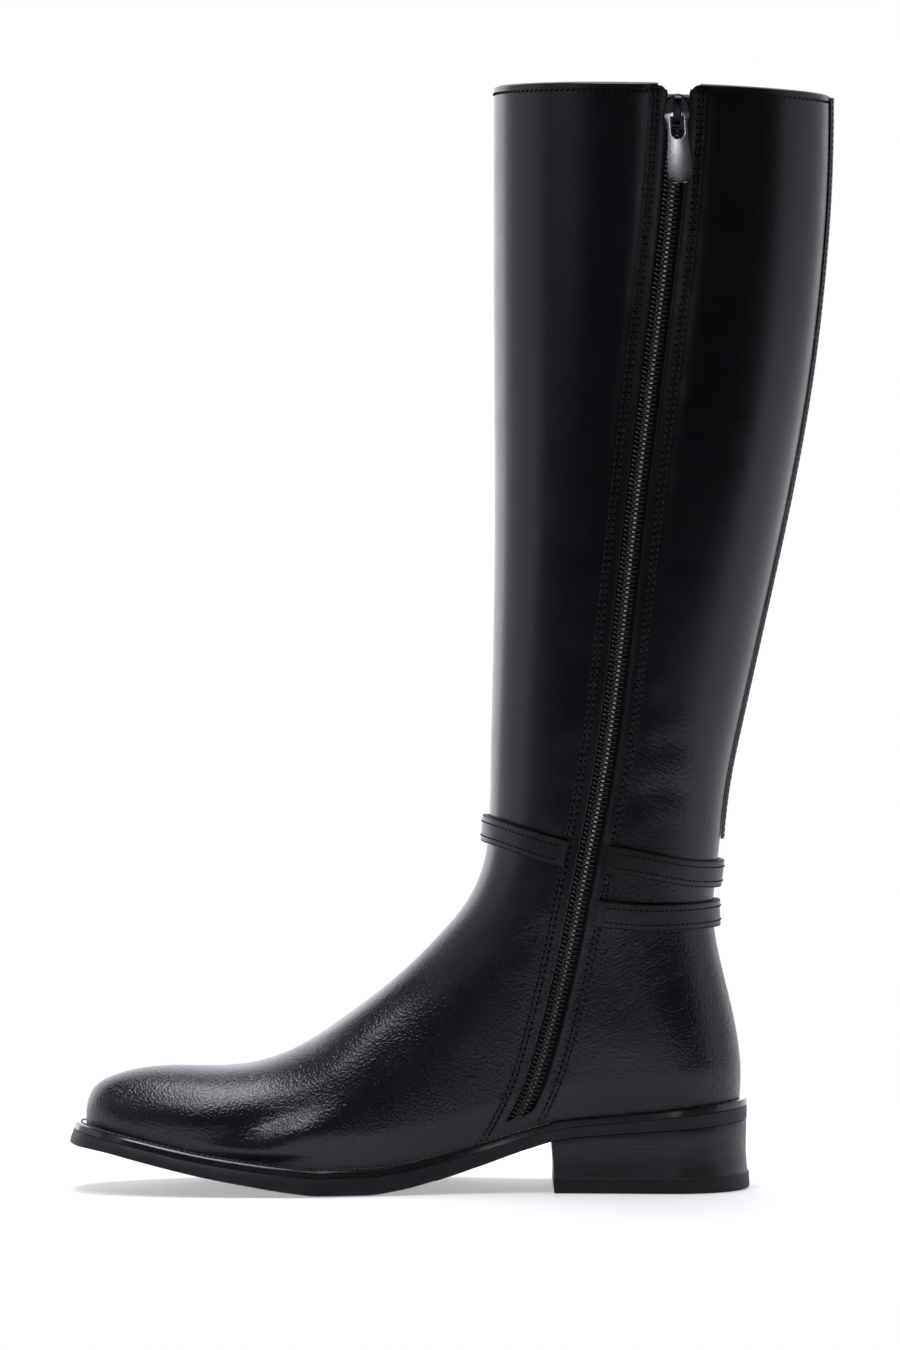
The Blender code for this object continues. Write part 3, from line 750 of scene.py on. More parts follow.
def tubes(paths, normals, radii, sides=6):
    """Points and faces of many short tubes with equal counts of stations.

    Radii gives each station's radius out of the surface and across.
    """
    paths, normals = np.asarray(paths, float), np.asarray(normals, float)
    count, stations = paths.shape[:2]
    ahead = unit(np.gradient(paths, axis=1))
    across = unit(np.cross(ahead, normals))
    out = np.cross(across, ahead)
    angle = np.linspace(0, 2 * math.pi, sides, endpoint=False)
    radii = np.broadcast_to(np.asarray(radii, float), (stations, 2))
    rings = (
        paths[:, :, None, :]
        + out[:, :, None, :] * (radii[:, :1] * np.cos(angle))[None, :, :, None]
        + across[:, :, None, :] * (radii[:, 1:] * np.sin(angle))[None, :, :, None]
    )
    faces = []
    size = stations * sides
    for n in range(count):
        faces += capped_faces(stations, sides, n * size)
    return rings.reshape(-1, 3), faces


def merge(parts):
    """Several lists of points and faces as one."""
    points, faces, first = [], [], 0
    for some_points, some_faces in parts:
        points.append(some_points)
        faces += [tuple(first + n for n in face) for face in some_faces]
        first += len(some_points)
    return np.concatenate(points), faces


# One stitch: share of its length, rise, and radius as a share of the thread's
STITCH_SHAPE = table(
    "share rise radius",
    (-0.50, -0.34, 0.62),
    (-0.43, -0.05, 0.90),
    (-0.26, 0.13, 1.00),
    (0.00, 0.18, 1.00),
    (0.26, 0.13, 1.00),
    (0.43, -0.05, 0.90),
    (0.50, -0.34, 0.62),
)


def thread_and_holes(line, normals, length, slant, radius, fill):
    """One row of stitches on a surface: short tubes of thread, and the needle holes between them."""
    run = run_along(line)
    count = max(1, int(round(run[-1] / length)))
    step = run[-1] / count
    at = (np.arange(count)[:, None] + 0.5 + STITCH_SHAPE["share"] * fill) * step
    paths, up = values_at(at, run, line), unit(values_at(at, run, normals))
    aside = np.cross(up, unit(np.gradient(paths, axis=1)))
    rise = STITCH_SHAPE["rise"] * radius / THREAD_RADIUS
    paths = paths + up * rise[None, :, None] + aside * (STITCH_SHAPE["share"] * slant)[None, :, None]
    threads = tubes(paths, up, np.column_stack((STITCH_SHAPE["radius"],) * 2) * radius)
    return threads, lenses(*stand_at(np.arange(count + 1) * step, line, normals))


def lenses(centre, up, ahead, sides=8):
    """Flat dimples lying on a surface, longer along the seam than across, for the needle holes; they take the
    near-black look of painted shade.
    """
    aside = np.cross(up, ahead)
    angle = np.linspace(0, 2 * math.pi, sides, endpoint=False)
    ring = (
        centre[:, None]
        + ahead[:, None] * (HOLE_HALF[0] * np.cos(angle))[None, :, None]
        + aside[:, None] * (HOLE_HALF[1] * np.sin(angle))[None, :, None]
    )
    tips = np.stack((centre + HOLE_RISE * up, centre - HOLE_SINK * up), 1)
    points = np.concatenate((ring, tips), 1)
    faces = []
    size = sides + 2
    for n in range(len(centre)):
        for k in range(sides):
            after = (k + 1) % sides
            faces.append((n * size + k, n * size + after, n * size + sides))
            faces.append((n * size + after, n * size + k, n * size + sides + 1))
    return points.reshape(-1, 3), faces


def cut_out(made, cutter):
    """Cuts one piece out of another, and deletes the cutter."""
    cut = made.modifiers.new("cut", "BOOLEAN")
    cut.operation = "DIFFERENCE"
    cut.solver = "EXACT"
    cut.object = cutter
    depsgraph = bpy.context.evaluated_depsgraph_get()
    mesh = bpy.data.meshes.new_from_object(made.evaluated_get(depsgraph))
    made.modifiers.clear()
    made.data = mesh
    bpy.data.objects.remove(cutter, do_unlink=True)


def seam(name, rows, length, look_name, slot, slant=0.0, radius=THREAD_RADIUS, fill=0.80, holes=False):
    """A piece of stitching, with needle holes if asked. Each row is a line and its normals."""
    made = [thread_and_holes(*row, length, slant, radius, fill) for row in rows]
    threads = merge([row[0] for row in made])
    if not holes:
        piece(name, *threads, LOOKS[look_name], slot=slot)
        return
    punched = merge([row[1] for row in made])
    kinds = [0] * len(threads[1]) + [1] * len(punched[1])
    piece(name, *merge([threads, punched]), [LOOKS[look_name], LOOKS["hole"]], slot=slot, face_looks=kinds)


# Materials

COOL_TINT = (0.95, 0.93, 1.0, 1.0)
FOOT_TO_SHAFT = (60.0, 150.0)

# Bump of the leather: grain, wrinkles, and hollows and puckers along the seams, in millimetres
GRAIN_SIZE = 1.0
GRAIN_DEPTH = 0.32
GRAIN_SHAFT = 0.15
WRINKLE_SIZE = 1.0
WRINKLE_STRETCH = (6.0, 1.0, 1.0)
WRINKLE_DEPTH = 0.4
WRINKLE_FADE = 1.4
WRINKLE_TURNS = ((30.0, 1.0), (-34.0, -1.0))
HOLLOW_HALF = 0.9
HOLLOW_DEPTH = -0.07
PUCKER_HALF = 3.0
PUCKER_SIZE = 1.7
PUCKER_DEPTH = 0.5
FAR_FROM_ZIP = 99.0


def feed(tree, socket, value):
    if isinstance(value, bpy.types.NodeSocket):
        tree.links.new(value, socket)
    else:
        socket.default_value = value


def node(tree, kind, inputs=None, **settings):
    """A shader node with its settings and inputs, which are values or other nodes' outputs."""
    made = tree.nodes.new("ShaderNode" + kind)
    for key, value in settings.items():
        setattr(made, key, value)
    for key, value in (inputs or {}).items():
        feed(tree, made.inputs[key], value)
    return made


def look(name, colour, roughness, **sockets):
    """A Principled material with these constant values. Returns it with its tree and shader."""
    made = bpy.data.materials.new(name)
    made.use_nodes = True
    shader = made.node_tree.nodes["Principled BSDF"]
    shader.inputs["Base Color"].default_value = (*colour, 1.0)
    shader.inputs["Roughness"].default_value = roughness
    for key, value in sockets.items():
        shader.inputs[key.replace("_", " ")].default_value = value
    made.diffuse_color = (*colour, 1.0)
    return made, made.node_tree, shader


def math_node(tree, operation, first, second=0.0, third=0.0, clamp=False):
    inputs = {0: first, 1: second, 2: third}
    return node(tree, "Math", inputs, operation=operation, use_clamp=clamp).outputs[0]


def times(tree, first, second):
    return math_node(tree, "MULTIPLY", first, second)


def spread(tree, value, low, high, to_low=0.0, to_high=1.0):
    """A smooth step of a value from one range to another."""
    inputs = {"Value": value, "From Min": low, "From Max": high, "To Min": to_low, "To Max": to_high}
    return node(tree, "MapRange", inputs, interpolation_type="SMOOTHSTEP").outputs["Result"]


def place(tree):
    return node(tree, "TexCoord").outputs["Object"]


def foot_to_shaft(tree, where, to_low=0.0, to_high=1.0):
    """A smooth step from the foot up to the shaft."""
    up = node(tree, "SeparateXYZ", {0: where}).outputs["Z"]
    return spread(tree, up, *(z * MM for z in FOOT_TO_SHAFT), to_low, to_high)


def noise(tree, vector, size, detail=3.0, rough=0.55):
    """Noise whose grains are about this many millimetres across."""
    return node(tree, "TexNoise", {"Vector": vector, "Scale": 1.0 / (size * MM), "Detail": detail,
                                   "Roughness": rough}).outputs["Fac"]


def pebbles(tree, vector, size):
    """Rounded grains of leather, 1 on top and 0 in the valleys."""
    edge = node(tree, "TexVoronoi", {"Vector": vector, "Scale": 1.0 / (size * MM)},
                feature="DISTANCE_TO_EDGE").outputs["Distance"]
    return spread(tree, edge, 0.0, 0.32)


def stretched(tree, vector, angle_deg, scale):
    """Coordinates turned in the side view and stretched, for marks that run one way."""
    return node(tree, "Mapping", {"Vector": vector, "Rotation": (0.0, math.radians(-angle_deg), 0.0),
                                  "Scale": scale}, vector_type="TEXTURE").outputs["Vector"]


def bump(tree, shader, height, depth=None):
    """Bump from a height in millimetres, or from a share of a depth."""
    height = height if depth is None else times(tree, height, depth)
    made = node(tree, "Bump", {"Height": height, "Distance": MM, "Strength": 1.0})
    tree.links.new(made.outputs["Normal"], shader.inputs["Normal"])


def vary_roughness(tree, shader, vector, size, low, high):
    amount = noise(tree, vector, size, 1.0)
    tree.links.new(spread(tree, amount, 0.2, 0.8, low, high), shader.inputs["Roughness"])


def mix_colour(tree, shader, share, dark, light):
    colours = {"Factor": share, "A": (*dark, 1.0), "B": (*light, 1.0)}
    mixed = node(tree, "Mix", colours, data_type="RGBA").outputs["Result"]
    tree.links.new(mixed, shader.inputs["Base Color"])


def vary_colour(tree, shader, vector, size, dark, light):
    amount = noise(tree, vector, size, 4.0)
    mix_colour(tree, shader, spread(tree, amount, 0.3, 0.7), dark, light)


def groove(tree, distance, row, half):
    """A rounded groove along the line where a distance equals row."""
    off = math_node(tree, "ABSOLUTE", math_node(tree, "SUBTRACT", distance, row))
    return spread(tree, off, 0.0, half, 1.0, 0.0)


def attribute(tree, name):
    return node(tree, "Attribute", attribute_name=name).outputs["Fac"]


def leather(name, dark, light, rough, grain=GRAIN_DEPTH, seams=False):
    """Smooth black leather with a fine grain, finer up the shaft. With seams it is the upper's."""
    made, tree, shader = look(name, dark, rough[0], Specular_IOR_Level=0.5, Specular_Tint=COOL_TINT,
                              Coat_Weight=0.15, Coat_Roughness=0.25)
    where = place(tree)
    vary_colour(tree, shader, where, 26.0, dark, light)
    vary_roughness(tree, shader, where, 14.0, *rough)
    depth = foot_to_shaft(tree, where, grain, grain * GRAIN_SHAFT)
    height = times(tree, noise(tree, where, GRAIN_SIZE, 1.0, 0.5), depth)
    bump(tree, shader, worked(tree, where, height) if seams else height)
    return made


def worked(tree, where, height):
    """The height of the leather with wrinkles where drawn, and hollows and puckers along the seams."""
    drawn, turned = attribute(tree, "wrinkle"), attribute(tree, "wrinkle_turn")
    for angle, side in WRINKLE_TURNS:
        streaks = noise(tree, stretched(tree, where, angle, WRINKLE_STRETCH), WRINKLE_SIZE, 2.0)
        amount = times(tree, drawn, math_node(tree, "MULTIPLY", turned, side, clamp=True))
        height = math_node(tree, "MULTIPLY_ADD", times(tree, streaks, amount), WRINKLE_DEPTH, height)
    from_zip, from_collar = attribute(tree, "from_zip"), attribute(tree, "from_collar")
    for distance, row in ((from_zip, ZIP_ROWS[0]), (from_zip, ZIP_ROWS[1]), (from_collar, COLLAR_ROW)):
        hollow = groove(tree, distance, row, HOLLOW_HALF)
        height = math_node(tree, "MULTIPLY_ADD", hollow, HOLLOW_DEPTH, height)
    puckered = groove(tree, from_zip, sum(ZIP_ROWS) / 2, PUCKER_HALF)
    puckers = times(tree, noise(tree, where, PUCKER_SIZE, 2.0), puckered)
    return math_node(tree, "MULTIPLY_ADD", puckers, PUCKER_DEPTH, height)


def thread(name, colour, rough, shine, fibre=0.35, depth=0.05):
    """Thread, edge paint (which also paints the shade along a strap's lower edge) or the painted shade inside
    a needle hole, with a fibrous surface.
    """
    made, tree, shader = look(name, colour, rough, Specular_IOR_Level=shine)
    bump(tree, shader, noise(tree, place(tree), fibre, 2.0), depth)
    return made


def lining_leather(name, dark, light):
    made, tree, shader = look(name, dark, 0.7)
    where = place(tree)
    vary_colour(tree, shader, where, 18.0, dark, light)
    bump(tree, shader, pebbles(tree, where, 0.9), 0.03)
    return made


def rubber(name, dark, light, rough):
    made, tree, shader = look(name, dark, rough[0], Specular_Tint=COOL_TINT)
    where = place(tree)
    vary_colour(tree, shader, where, 12.0, dark, light)
    vary_roughness(tree, shader, where, 4.0, *rough)
    bump(tree, shader, noise(tree, where, 0.7), 0.035)
    return made


def stacked(name, dark, light, rough, streak, coat):
    """Edge-finished layers with fine level streaks round the heel or welt."""
    made, tree, shader = look(name, dark, rough[0], Specular_Tint=COOL_TINT,
                              Coat_Weight=coat, Coat_Roughness=0.2)
    where = place(tree)
    lines = noise(tree, stretched(tree, where, 0.0, (33.0, 33.0, 1.0)), 0.5, 4.0)
    mix_colour(tree, shader, spread(tree, lines, 0.35, 0.68), dark, light)
    vary_roughness(tree, shader, where, 5.0, *rough)
    bump(tree, shader, lines, streak)
    return made


def woven(name, colour):
    """Zip tape: a close herringbone weave."""
    made, tree, shader = look(name, colour, 0.85, Sheen_Weight=0.3, Sheen_Roughness=0.4)
    where = place(tree)
    threads = [
        node(tree, "TexWave", {"Vector": stretched(tree, where, angle, (1.0, 1.0, 1.0)), "Scale": 620.0,
                               "Distortion": 0.6, "Detail": 1.0}, bands_direction="X").outputs["Fac"]
        for angle in (38.0, -38.0)
    ]
    bump(tree, shader, math_node(tree, "MAXIMUM", *threads), 0.08)
    return made


def nylon(name, low, high):
    """Zip coil, in one colour near the foot and another up the shaft."""
    made, tree, shader = look(name, high, 0.15, Specular_IOR_Level=0.7, Coat_Weight=0.5, Coat_Roughness=0.08)
    where = place(tree)
    vary_roughness(tree, shader, where, 1.2, 0.12, 0.22)
    mix_colour(tree, shader, foot_to_shaft(tree, where), low, high)
    return made


def metal(name, colour, rough):
    """Plated metal, brushed along the piece."""
    made, tree, shader = look(name, colour, rough[0], Metallic=1.0)
    brushed = noise(tree, stretched(tree, place(tree), 0.0, (1.0, 1.0, 16.0)), 0.8, 1.0)
    tree.links.new(spread(tree, brushed, 0.3, 0.7, *rough), shader.inputs["Roughness"])
    return made


LOOKS = {
    "leather": leather("boot_leather", (0.0060, 0.0054, 0.0082), (0.0090, 0.0081, 0.0116), (0.265, 0.315),
                       seams=True),
    "strap": leather("strap_leather", (0.0085, 0.0080, 0.0100), (0.0130, 0.0120, 0.0150), (0.34, 0.44), 0.2),
    "stay": leather("stay_leather", (0.0065, 0.0060, 0.0082), (0.0095, 0.0088, 0.0115), (0.30, 0.38), 0.2),
    "lining": lining_leather("lining_leather", (0.36, 0.27, 0.18), (0.46, 0.36, 0.25)),
    "thread": thread("black_thread", (0.007, 0.0065, 0.008), 0.45, 0.4),
    # Black edge paint, also used as painted shade along a strap's lower edge
    "edge_paint_and_shade": thread("edge_paint_and_shade", (0.003, 0.003, 0.0035), 0.55, 0.3),
    "sunk_thread": thread("sunk_thread", (0.0025, 0.0025, 0.003), 0.8, 0.15),
    # Light grey thread on the welt, lighter than the dark thread it stands for: painted highlight of the
    # glints along the stitches
    "welt_thread_and_glint": thread("welt_thread_and_glint", (0.22, 0.21, 0.20), 0.6, 0.3),
    # Near-black painted shade inside the needle holes
    "hole": thread("needle_hole_shade", (0.002, 0.002, 0.002), 1.0, 0.0, 0.3, 0.03),
    "welt": stacked("welt_edge", (0.009, 0.0088, 0.0105), (0.015, 0.0145, 0.017), (0.20, 0.28), 0.006, 0.8),
    "heel": stacked("heel_stack", (0.008, 0.0078, 0.0095), (0.020, 0.019, 0.023), (0.34, 0.44), 0.02, 0.15),
    "rubber": rubber("sole_rubber", (0.011, 0.0105, 0.0130), (0.017, 0.0165, 0.0195), (0.45, 0.58)),
    "top_piece": rubber("heel_lift_rubber", (0.010, 0.010, 0.010), (0.016, 0.016, 0.017), (0.50, 0.62)),
    "insole": lining_leather("insole_leather", (0.34, 0.25, 0.17), (0.44, 0.34, 0.24)),
    "tape": woven("zip_tape", (0.030, 0.029, 0.033)),
    "coil": nylon("zip_coil", (0.008, 0.008, 0.009), (0.010, 0.010, 0.011)),
    # Painted highlight: the coil's heads are painted light grey for the glints on them, darker towards the
    # foot
    "coil_head": nylon("zip_coil_painted_glints", (0.12, 0.12, 0.125), (0.52, 0.52, 0.54)),
    "slider": metal("slider_metal", (0.028, 0.028, 0.032), (0.20, 0.26)),
    "tab": metal("tab_metal", (0.72, 0.72, 0.75), (0.18, 0.22)),
}


# Upper


# Ways along the front and back lines at which the upper starts, and the length underneath it
TOE_WAY = FRONT.along[np.argmax(FRONT.z > feather_z(FRONT.x))]
SEAT_WAY = BACK.along_at(feather_z(np.array([HEEL_X]))[0])
UNDER_LENGTH = HEEL_X - TOE_CORNER_X


def section_ends(front_way, under_way, offset):
    """Front and under ends of one section of the upper, in the side view."""
    if under_way <= UNDER_LENGTH:
        x = TOE_CORNER_X + (HEEL_X + offset - TOE_CORNER_X) * under_way / UNDER_LENGTH
        back_end = x, feather_z(np.array([x]))[0]
    else:
        way = min(SEAT_WAY + under_way - UNDER_LENGTH, BACK.along_at(COLLAR_BACK_Z))
        back_end = BACK.point(way, offset)
    return FRONT.point(min(TOE_WAY + front_way, FRONT.along_at(COLLAR_FRONT_Z)), offset), back_end


def side_rows(x, z, offset, closed):
    """Points round the form above a line of the side view, which runs from the back or below to the front."""
    width, centre = half_width(x, z, offset), middle(x, z)
    width[-1] = 0
    if closed:
        width[0] = 0
    spread_out = np.linspace(0, 1, SIDE_COLUMNS)
    sides = []
    for sign in (-1, 1):
        line = np.column_stack((x, centre + sign * width, z))
        run = run_along(line)
        even = run[-1] * (spread_out - END_CROWDING * np.sin(2 * math.pi * spread_out))
        sides.append(values_at(even, run, line))
    return np.concatenate((sides[0], sides[1][-2::-1]))


def section(front_way, under_way, offset, arch, drop=0.0):
    """One row of points round the form: inner side from below to the front, then down the outer side."""
    (front_x, front_z), (under_x, under_z) = section_ends(front_way, under_way, offset)
    share = round_trip(SECTION_POINTS)
    x = under_x + (front_x - under_x) * share
    z = under_z + (front_z - under_z) * share + arch * 4 * share * (1 - share) - drop
    return side_rows(x, z, offset, under_way >= UNDER_LENGTH - 0.001)


def collar_row(offset, drop):
    """A row of points along the collar's edge, let down by drop."""
    return section(PAST_COLLAR, PAST_COLLAR, offset, COLLAR_ARCH, drop)


def upper_rows(split, offset):
    """The upper's surface as rows of points, with this many rows to each step of the table."""
    knots = np.cumsum(SECTIONS["rows"])
    rows = np.arange(knots[-1] * split + 1) / split
    front, under = SECTIONS["front"].copy(), SECTIONS["under"].copy()
    front[-1] = FRONT.along_at(COLLAR_FRONT_Z) - TOE_WAY
    under[-1] = BACK.along_at(COLLAR_BACK_Z) - SEAT_WAY + HEEL_X - TOE_CORNER_X
    ways = monotone(knots, front, rows), monotone(knots, under, rows)
    arches = COLLAR_ARCH * ease((rows - rows[-1] + ARCH_ROWS) / ARCH_ROWS)
    grid = np.array([section(*way, offset, arch) for *way, arch in zip(*ways, arches)])
    return grid, int(knots[HEEL_SECTION] * split) + 1


def upper_normals(grid, open_rows):
    """Outward normals, matched where the two sides meet down the back."""
    normals = grid_normals(grid, from_axis(grid.copy()))
    both = unit(normals[open_rows:, 0] + normals[open_rows:, -1])
    normals[open_rows:, 0] = normals[open_rows:, -1] = both
    return normals


def beside_zip(x, z):
    """How far the sewn edge of the zip draws the leather in, less the puffs beyond it."""
    away = np.abs(x - slot_x(z)) - SLOT_HALF
    sewn = SEWN_DEPTH * (1 - ramp(away, *SEWN_FADE)) * ramp(z, *SEWN_START)
    wave = PUFF_WAVE[0] * np.sin(z / PUFF_WAVE[1] + np.sign(x - slot_x(z)))
    ripple = PUFF_RIPPLE[0] * np.sin(z / PUFF_RIPPLE[1] + PUFF_RIPPLE[2])
    uneven = PUFF_MEAN + wave + ripple
    puffed = PUFF_HEIGHT * uneven * np.exp(-(((away - PUFF_PLACE) / PUFF_HALF) ** 2))
    puffed *= ramp(z, *PUFF_START) * (1 - PUFF_LOSS * ramp(z, *PUFF_END))
    return sewn - puffed


def crease_depth(points, side):
    """How far the creases and the zip's sewn edge draw the leather in, and the ridges beside them."""
    x, z = points[:, 0], points[:, 2]
    sunk = np.zeros(len(points))
    for crease_side, depth, half, line in CREASES:
        line = np.array(line, float)
        knots = np.linspace(0, 1, len(line))
        at = np.linspace(0, 1, CREASE_POINTS)
        curve = np.column_stack((spline(knots, line[:, 0], at), spline(knots, line[:, 1], at)))
        reach = CREASE_REACH * half
        near = (side == crease_side) & (x > curve[:, 0].min() - reach) & (x < curve[:, 0].max() + reach)
        near &= (z > curve[:, 1].min() - reach) & (z < curve[:, 1].max() + reach)
        if not near.any():
            continue
        away = np.hypot(x[near, None] - curve[:, 0], z[near, None] - curve[:, 1])
        which = away.argmin(1)
        off = away[np.arange(len(which)), which] / half
        fade = np.sin(math.pi * at[which]) ** CREASE_END_POWER
        beside = BESIDE_TROUGH if depth > 0 else BESIDE_RIDGE
        sunk[near] += depth * fade * (np.exp(-off**2) - beside * np.exp(-((off - BESIDE_PLACE) ** 2)))
    return sunk + np.where(side == -1, beside_zip(x, z), 0.0)


def even_out(grid, normals):
    """Takes faint ridges off the form near the listed places, by moving points along their normals."""
    share = np.zeros(grid.shape[:2])
    for x, z, reach in zip(EVENED["x"], EVENED["z"], EVENED["reach"]):
        share += np.exp(-(((grid[..., 0] - x) ** 2 + (grid[..., 2] - z) ** 2) / reach**2) ** 2)
    share[[0, -1]] = 0
    share[:, [0, -1]] = 0
    for _ in range(EVEN_ROUNDS):
        around = sum(np.roll(grid, step, axis) for axis in (0, 1) for step in (1, -1)) / 4
        grid = grid + normals * (((around - grid) * normals).sum(-1) * share)[..., None]
    return grid


def creased_leather():
    """The upper's outer surface with its creases."""
    outer, open_rows = upper_rows(ROW_SPLIT, 0.0)
    normals = upper_normals(outer, open_rows)
    rows, columns = outer.shape[:2]
    side = np.broadcast_to(np.where(np.arange(columns) < SIDE_COLUMNS, -1, 1), (rows, columns))
    sunk = crease_depth(outer.reshape(-1, 3), side.ravel()).reshape(rows, columns)
    x, y, z = outer[..., 0], outer[..., 1], outer[..., 2]
    sunk *= ramp(np.abs(y - middle(x, z)), *CREASE_FADE) * ease((z - feather_z(x)) / FEATHER_FADE)
    return even_out(outer, normals) - normals * sunk[..., None]


# Rim of the collar: the leather rounds over, and from LINING_STEP on it is the lining's edge, a little higher
COLLAR_RIM = table(
    "offset rise",
    (-0.12, 0.30),
    (-0.45, 0.50),
    (-1.15, 0.50),
    (-1.30, 0.15),
    (-1.42, 0.75),
    (-1.70, 0.95),
    (-2.05, 0.80),
)
LINING_STEP = 4


def build_upper():
    """The hollow upper: creased leather outside, the rim of the collar, the lining and the edge below."""
    outer = creased_leather()
    rows, columns = outer.shape[:2]
    inner, inner_open = upper_rows(1, -UPPER_WALL)
    rims = [collar_row(offset, -rise) for offset, rise in zip(COLLAR_RIM["offset"], COLLAR_RIM["rise"])]
    points = np.concatenate((outer.reshape(-1, 3), np.concatenate(rims), inner.reshape(-1, 3)))
    last_rim = (rows + len(rims) - 1) * columns
    first_inner = last_rim + columns
    faces = grid_faces(rows + len(rims), columns)
    leather_faces = (rows - 1 + LINING_STEP) * (columns - 1)
    kinds = [0] * leather_faces + [1] * (len(faces) - leather_faces)
    inside = [face[::-1] for face in grid_faces(len(inner), columns, first_inner)]
    top = first_inner + (len(inner) - 1) * columns
    inside += [(last_rim + k, last_rim + k + 1, top + k + 1, top + k) for k in range(columns - 1)]
    faces += inside
    kinds += [1] * len(inside)
    under = [(k, k + 1, first_inner + k + 1, first_inner + k) for k in range(columns - 1)]
    for i in range(inner_open - 1):
        for edge in (0, columns - 1):
            line = [(i * ROW_SPLIT + n) * columns + edge for n in range(ROW_SPLIT + 1)]
            under.append((*line, first_inner + (i + 1) * columns + edge, first_inner + i * columns + edge))
    faces += under
    kinds += [0] * len(under)
    upper = piece("upper_leather", points, faces, [LOOKS["leather"], LOOKS["lining"]], slot="leather",
                  stands_for=("upper",), face_looks=kinds)
    cut_slot(upper)
    mark_leather(upper)


def cut_slot(upper):
    """Cuts the zip's opening through the leather."""
    foot = hook_z(0.1, 30)
    rise = np.linspace(SLOT_BOTTOM_Z + HOOK_HEIGHT + 1, COLLAR_FRONT_Z - 8, 150)
    top = np.concatenate((np.linspace(COLLAR_FRONT_Z - 7, FLAP_TOP_Z, 30), [COLLAR_FRONT_Z + 6]))
    z = np.concatenate((foot, rise, top))
    front, back = slot_x(z) - slot_edge(z, -1), slot_x(z) + slot_edge(z, 1)
    near, far = (np.full(len(z), y) for y in SLOT_CUT_Y)
    loops = np.stack([
        np.column_stack((front, near, z)), np.column_stack((back, near, z)),
        np.column_stack((back, far, z)), np.column_stack((front, far, z)),
    ], 1)
    faces = grid_faces(len(z), 4, wrap=True)
    faces += [(0, 1, 2, 3), tuple(4 * len(z) - 4 + k for k in range(4))]
    cut_out(upper, piece("slot_cutter", loops.reshape(-1, 3), faces, LOOKS["leather"]))
    upper.data.shade_smooth()
    upper.data.set_sharp_from_angle(angle=math.radians(50))


def mark_leather(upper):
    """Writes distances from the zip and the collar, and the drawn wrinkles, on the leather's points."""
    mesh = upper.data
    flat = np.empty(len(mesh.vertices) * 3, np.float32)
    mesh.vertices.foreach_get("co", flat)
    points = flat.reshape(-1, 3) / MM - MIDDLE_SHIFT
    x, y, z = points.T
    zip_side = y < middle(x, z)
    from_zip = np.where(zip_side, np.abs(x - slot_x(z)) - SLOT_HALF, FAR_FROM_ZIP)
    drawn, turn = np.zeros(len(points)), np.zeros(len(points))
    for k in range(len(WRINKLES["x"])):
        angle = math.radians(WRINKLES["angle"][k])
        ahead, aside = x - WRINKLES["x"][k], z - WRINKLES["z"][k]
        along = (ahead * math.cos(angle) + aside * math.sin(angle)) / WRINKLES["along"][k]
        across = (aside * math.cos(angle) - ahead * math.sin(angle)) / WRINKLES["across"][k]
        amount = WRINKLES["strength"][k] * np.exp(-WRINKLE_FADE * (along**2 + across**2))
        stronger = amount > drawn
        drawn = np.where(stronger, amount, drawn)
        turn = np.where(stronger, np.sign(angle), turn)
    marks = {"from_zip": from_zip, "from_collar": collar_z(x) - z, "wrinkle": drawn, "wrinkle_turn": turn}
    for name, values in marks.items():
        mesh.attributes.new(name, "FLOAT", "POINT").data.foreach_set("value", values.astype(np.float32))


def side_normals(points):
    """Outward normals of the zip side at points of the form."""
    x, z = points[:, 0], points[:, 2]
    by_x = inner_side(x + NORMAL_STEP, z, 0.0) - inner_side(x - NORMAL_STEP, z, 0.0)
    by_z = inner_side(x, z + NORMAL_STEP, 0.0) - inner_side(x, z - NORMAL_STEP, 0.0)
    normals = unit(np.cross(by_x, by_z))
    return normals * np.where(normals[:, 1:2] > 0, -1, 1)


def sweep(line, normals, profile):
    """Points and faces of a closed profile carried along a line. The profile gives steps across and out."""
    ahead = unit(np.gradient(line, axis=0))
    across = unit(np.cross(ahead, normals))
    profile = np.asarray(profile, float)
    grid = line[:, None] + across[:, None] * profile[None, :, :1] + normals[:, None] * profile[None, :, 1:]
    return grid.reshape(-1, 3), capped_faces(*grid.shape[:2])


def on_leather(points):
    """The same points of the zip side, set on the creased leather, with their normals."""
    normals = side_normals(points)
    return points - normals * crease_depth(points, np.full(len(points), -1))[:, None], normals


def build_zip_edges():
    """The leather's turned edges along the opening, and two rows of stitching beside each."""
    angle = np.linspace(0, 2 * math.pi, 10, endpoint=False)
    profile = np.column_stack((TURNED_HALF * np.cos(angle), -TURNED_SINK + TURNED_ROUND * np.sin(angle)))
    rise = np.linspace(SLOT_BOTTOM_Z + HOOK_HEIGHT + 1, COLLAR_BACK_Z + 1.2, 260)
    edge_z = np.concatenate((hook_z(0.06, 40), rise))
    edges, rows = [], []
    for side in (-1, 1):
        line = inner_side(slot_x(edge_z) + side * (slot_edge(edge_z, side) + TURNED_SHIFT), edge_z, 0.0)
        edges.append(sweep(*on_leather(line), profile))
        for row in ZIP_ROWS:
            z = np.linspace(SLOT_BOTTOM_Z - 5, COLLAR_FRONT_Z, 400)
            x = slot_x(z) + side * (SLOT_HALF + row)
            sewn = (z > feather_z(x) + 1.5) & (z < collar_z(x) - COLLAR_ROW - 0.4)
            rows.append(on_leather(inner_side(x[sewn], z[sewn], 0.0)))
    piece("zip_turned_edge", *merge(edges), LOOKS["leather"], slot="leather", sharp=60)
    seam("zip_stitches", rows, ZIP_STITCH, "thread", "leather", radius=0.38, fill=0.72, holes=True)


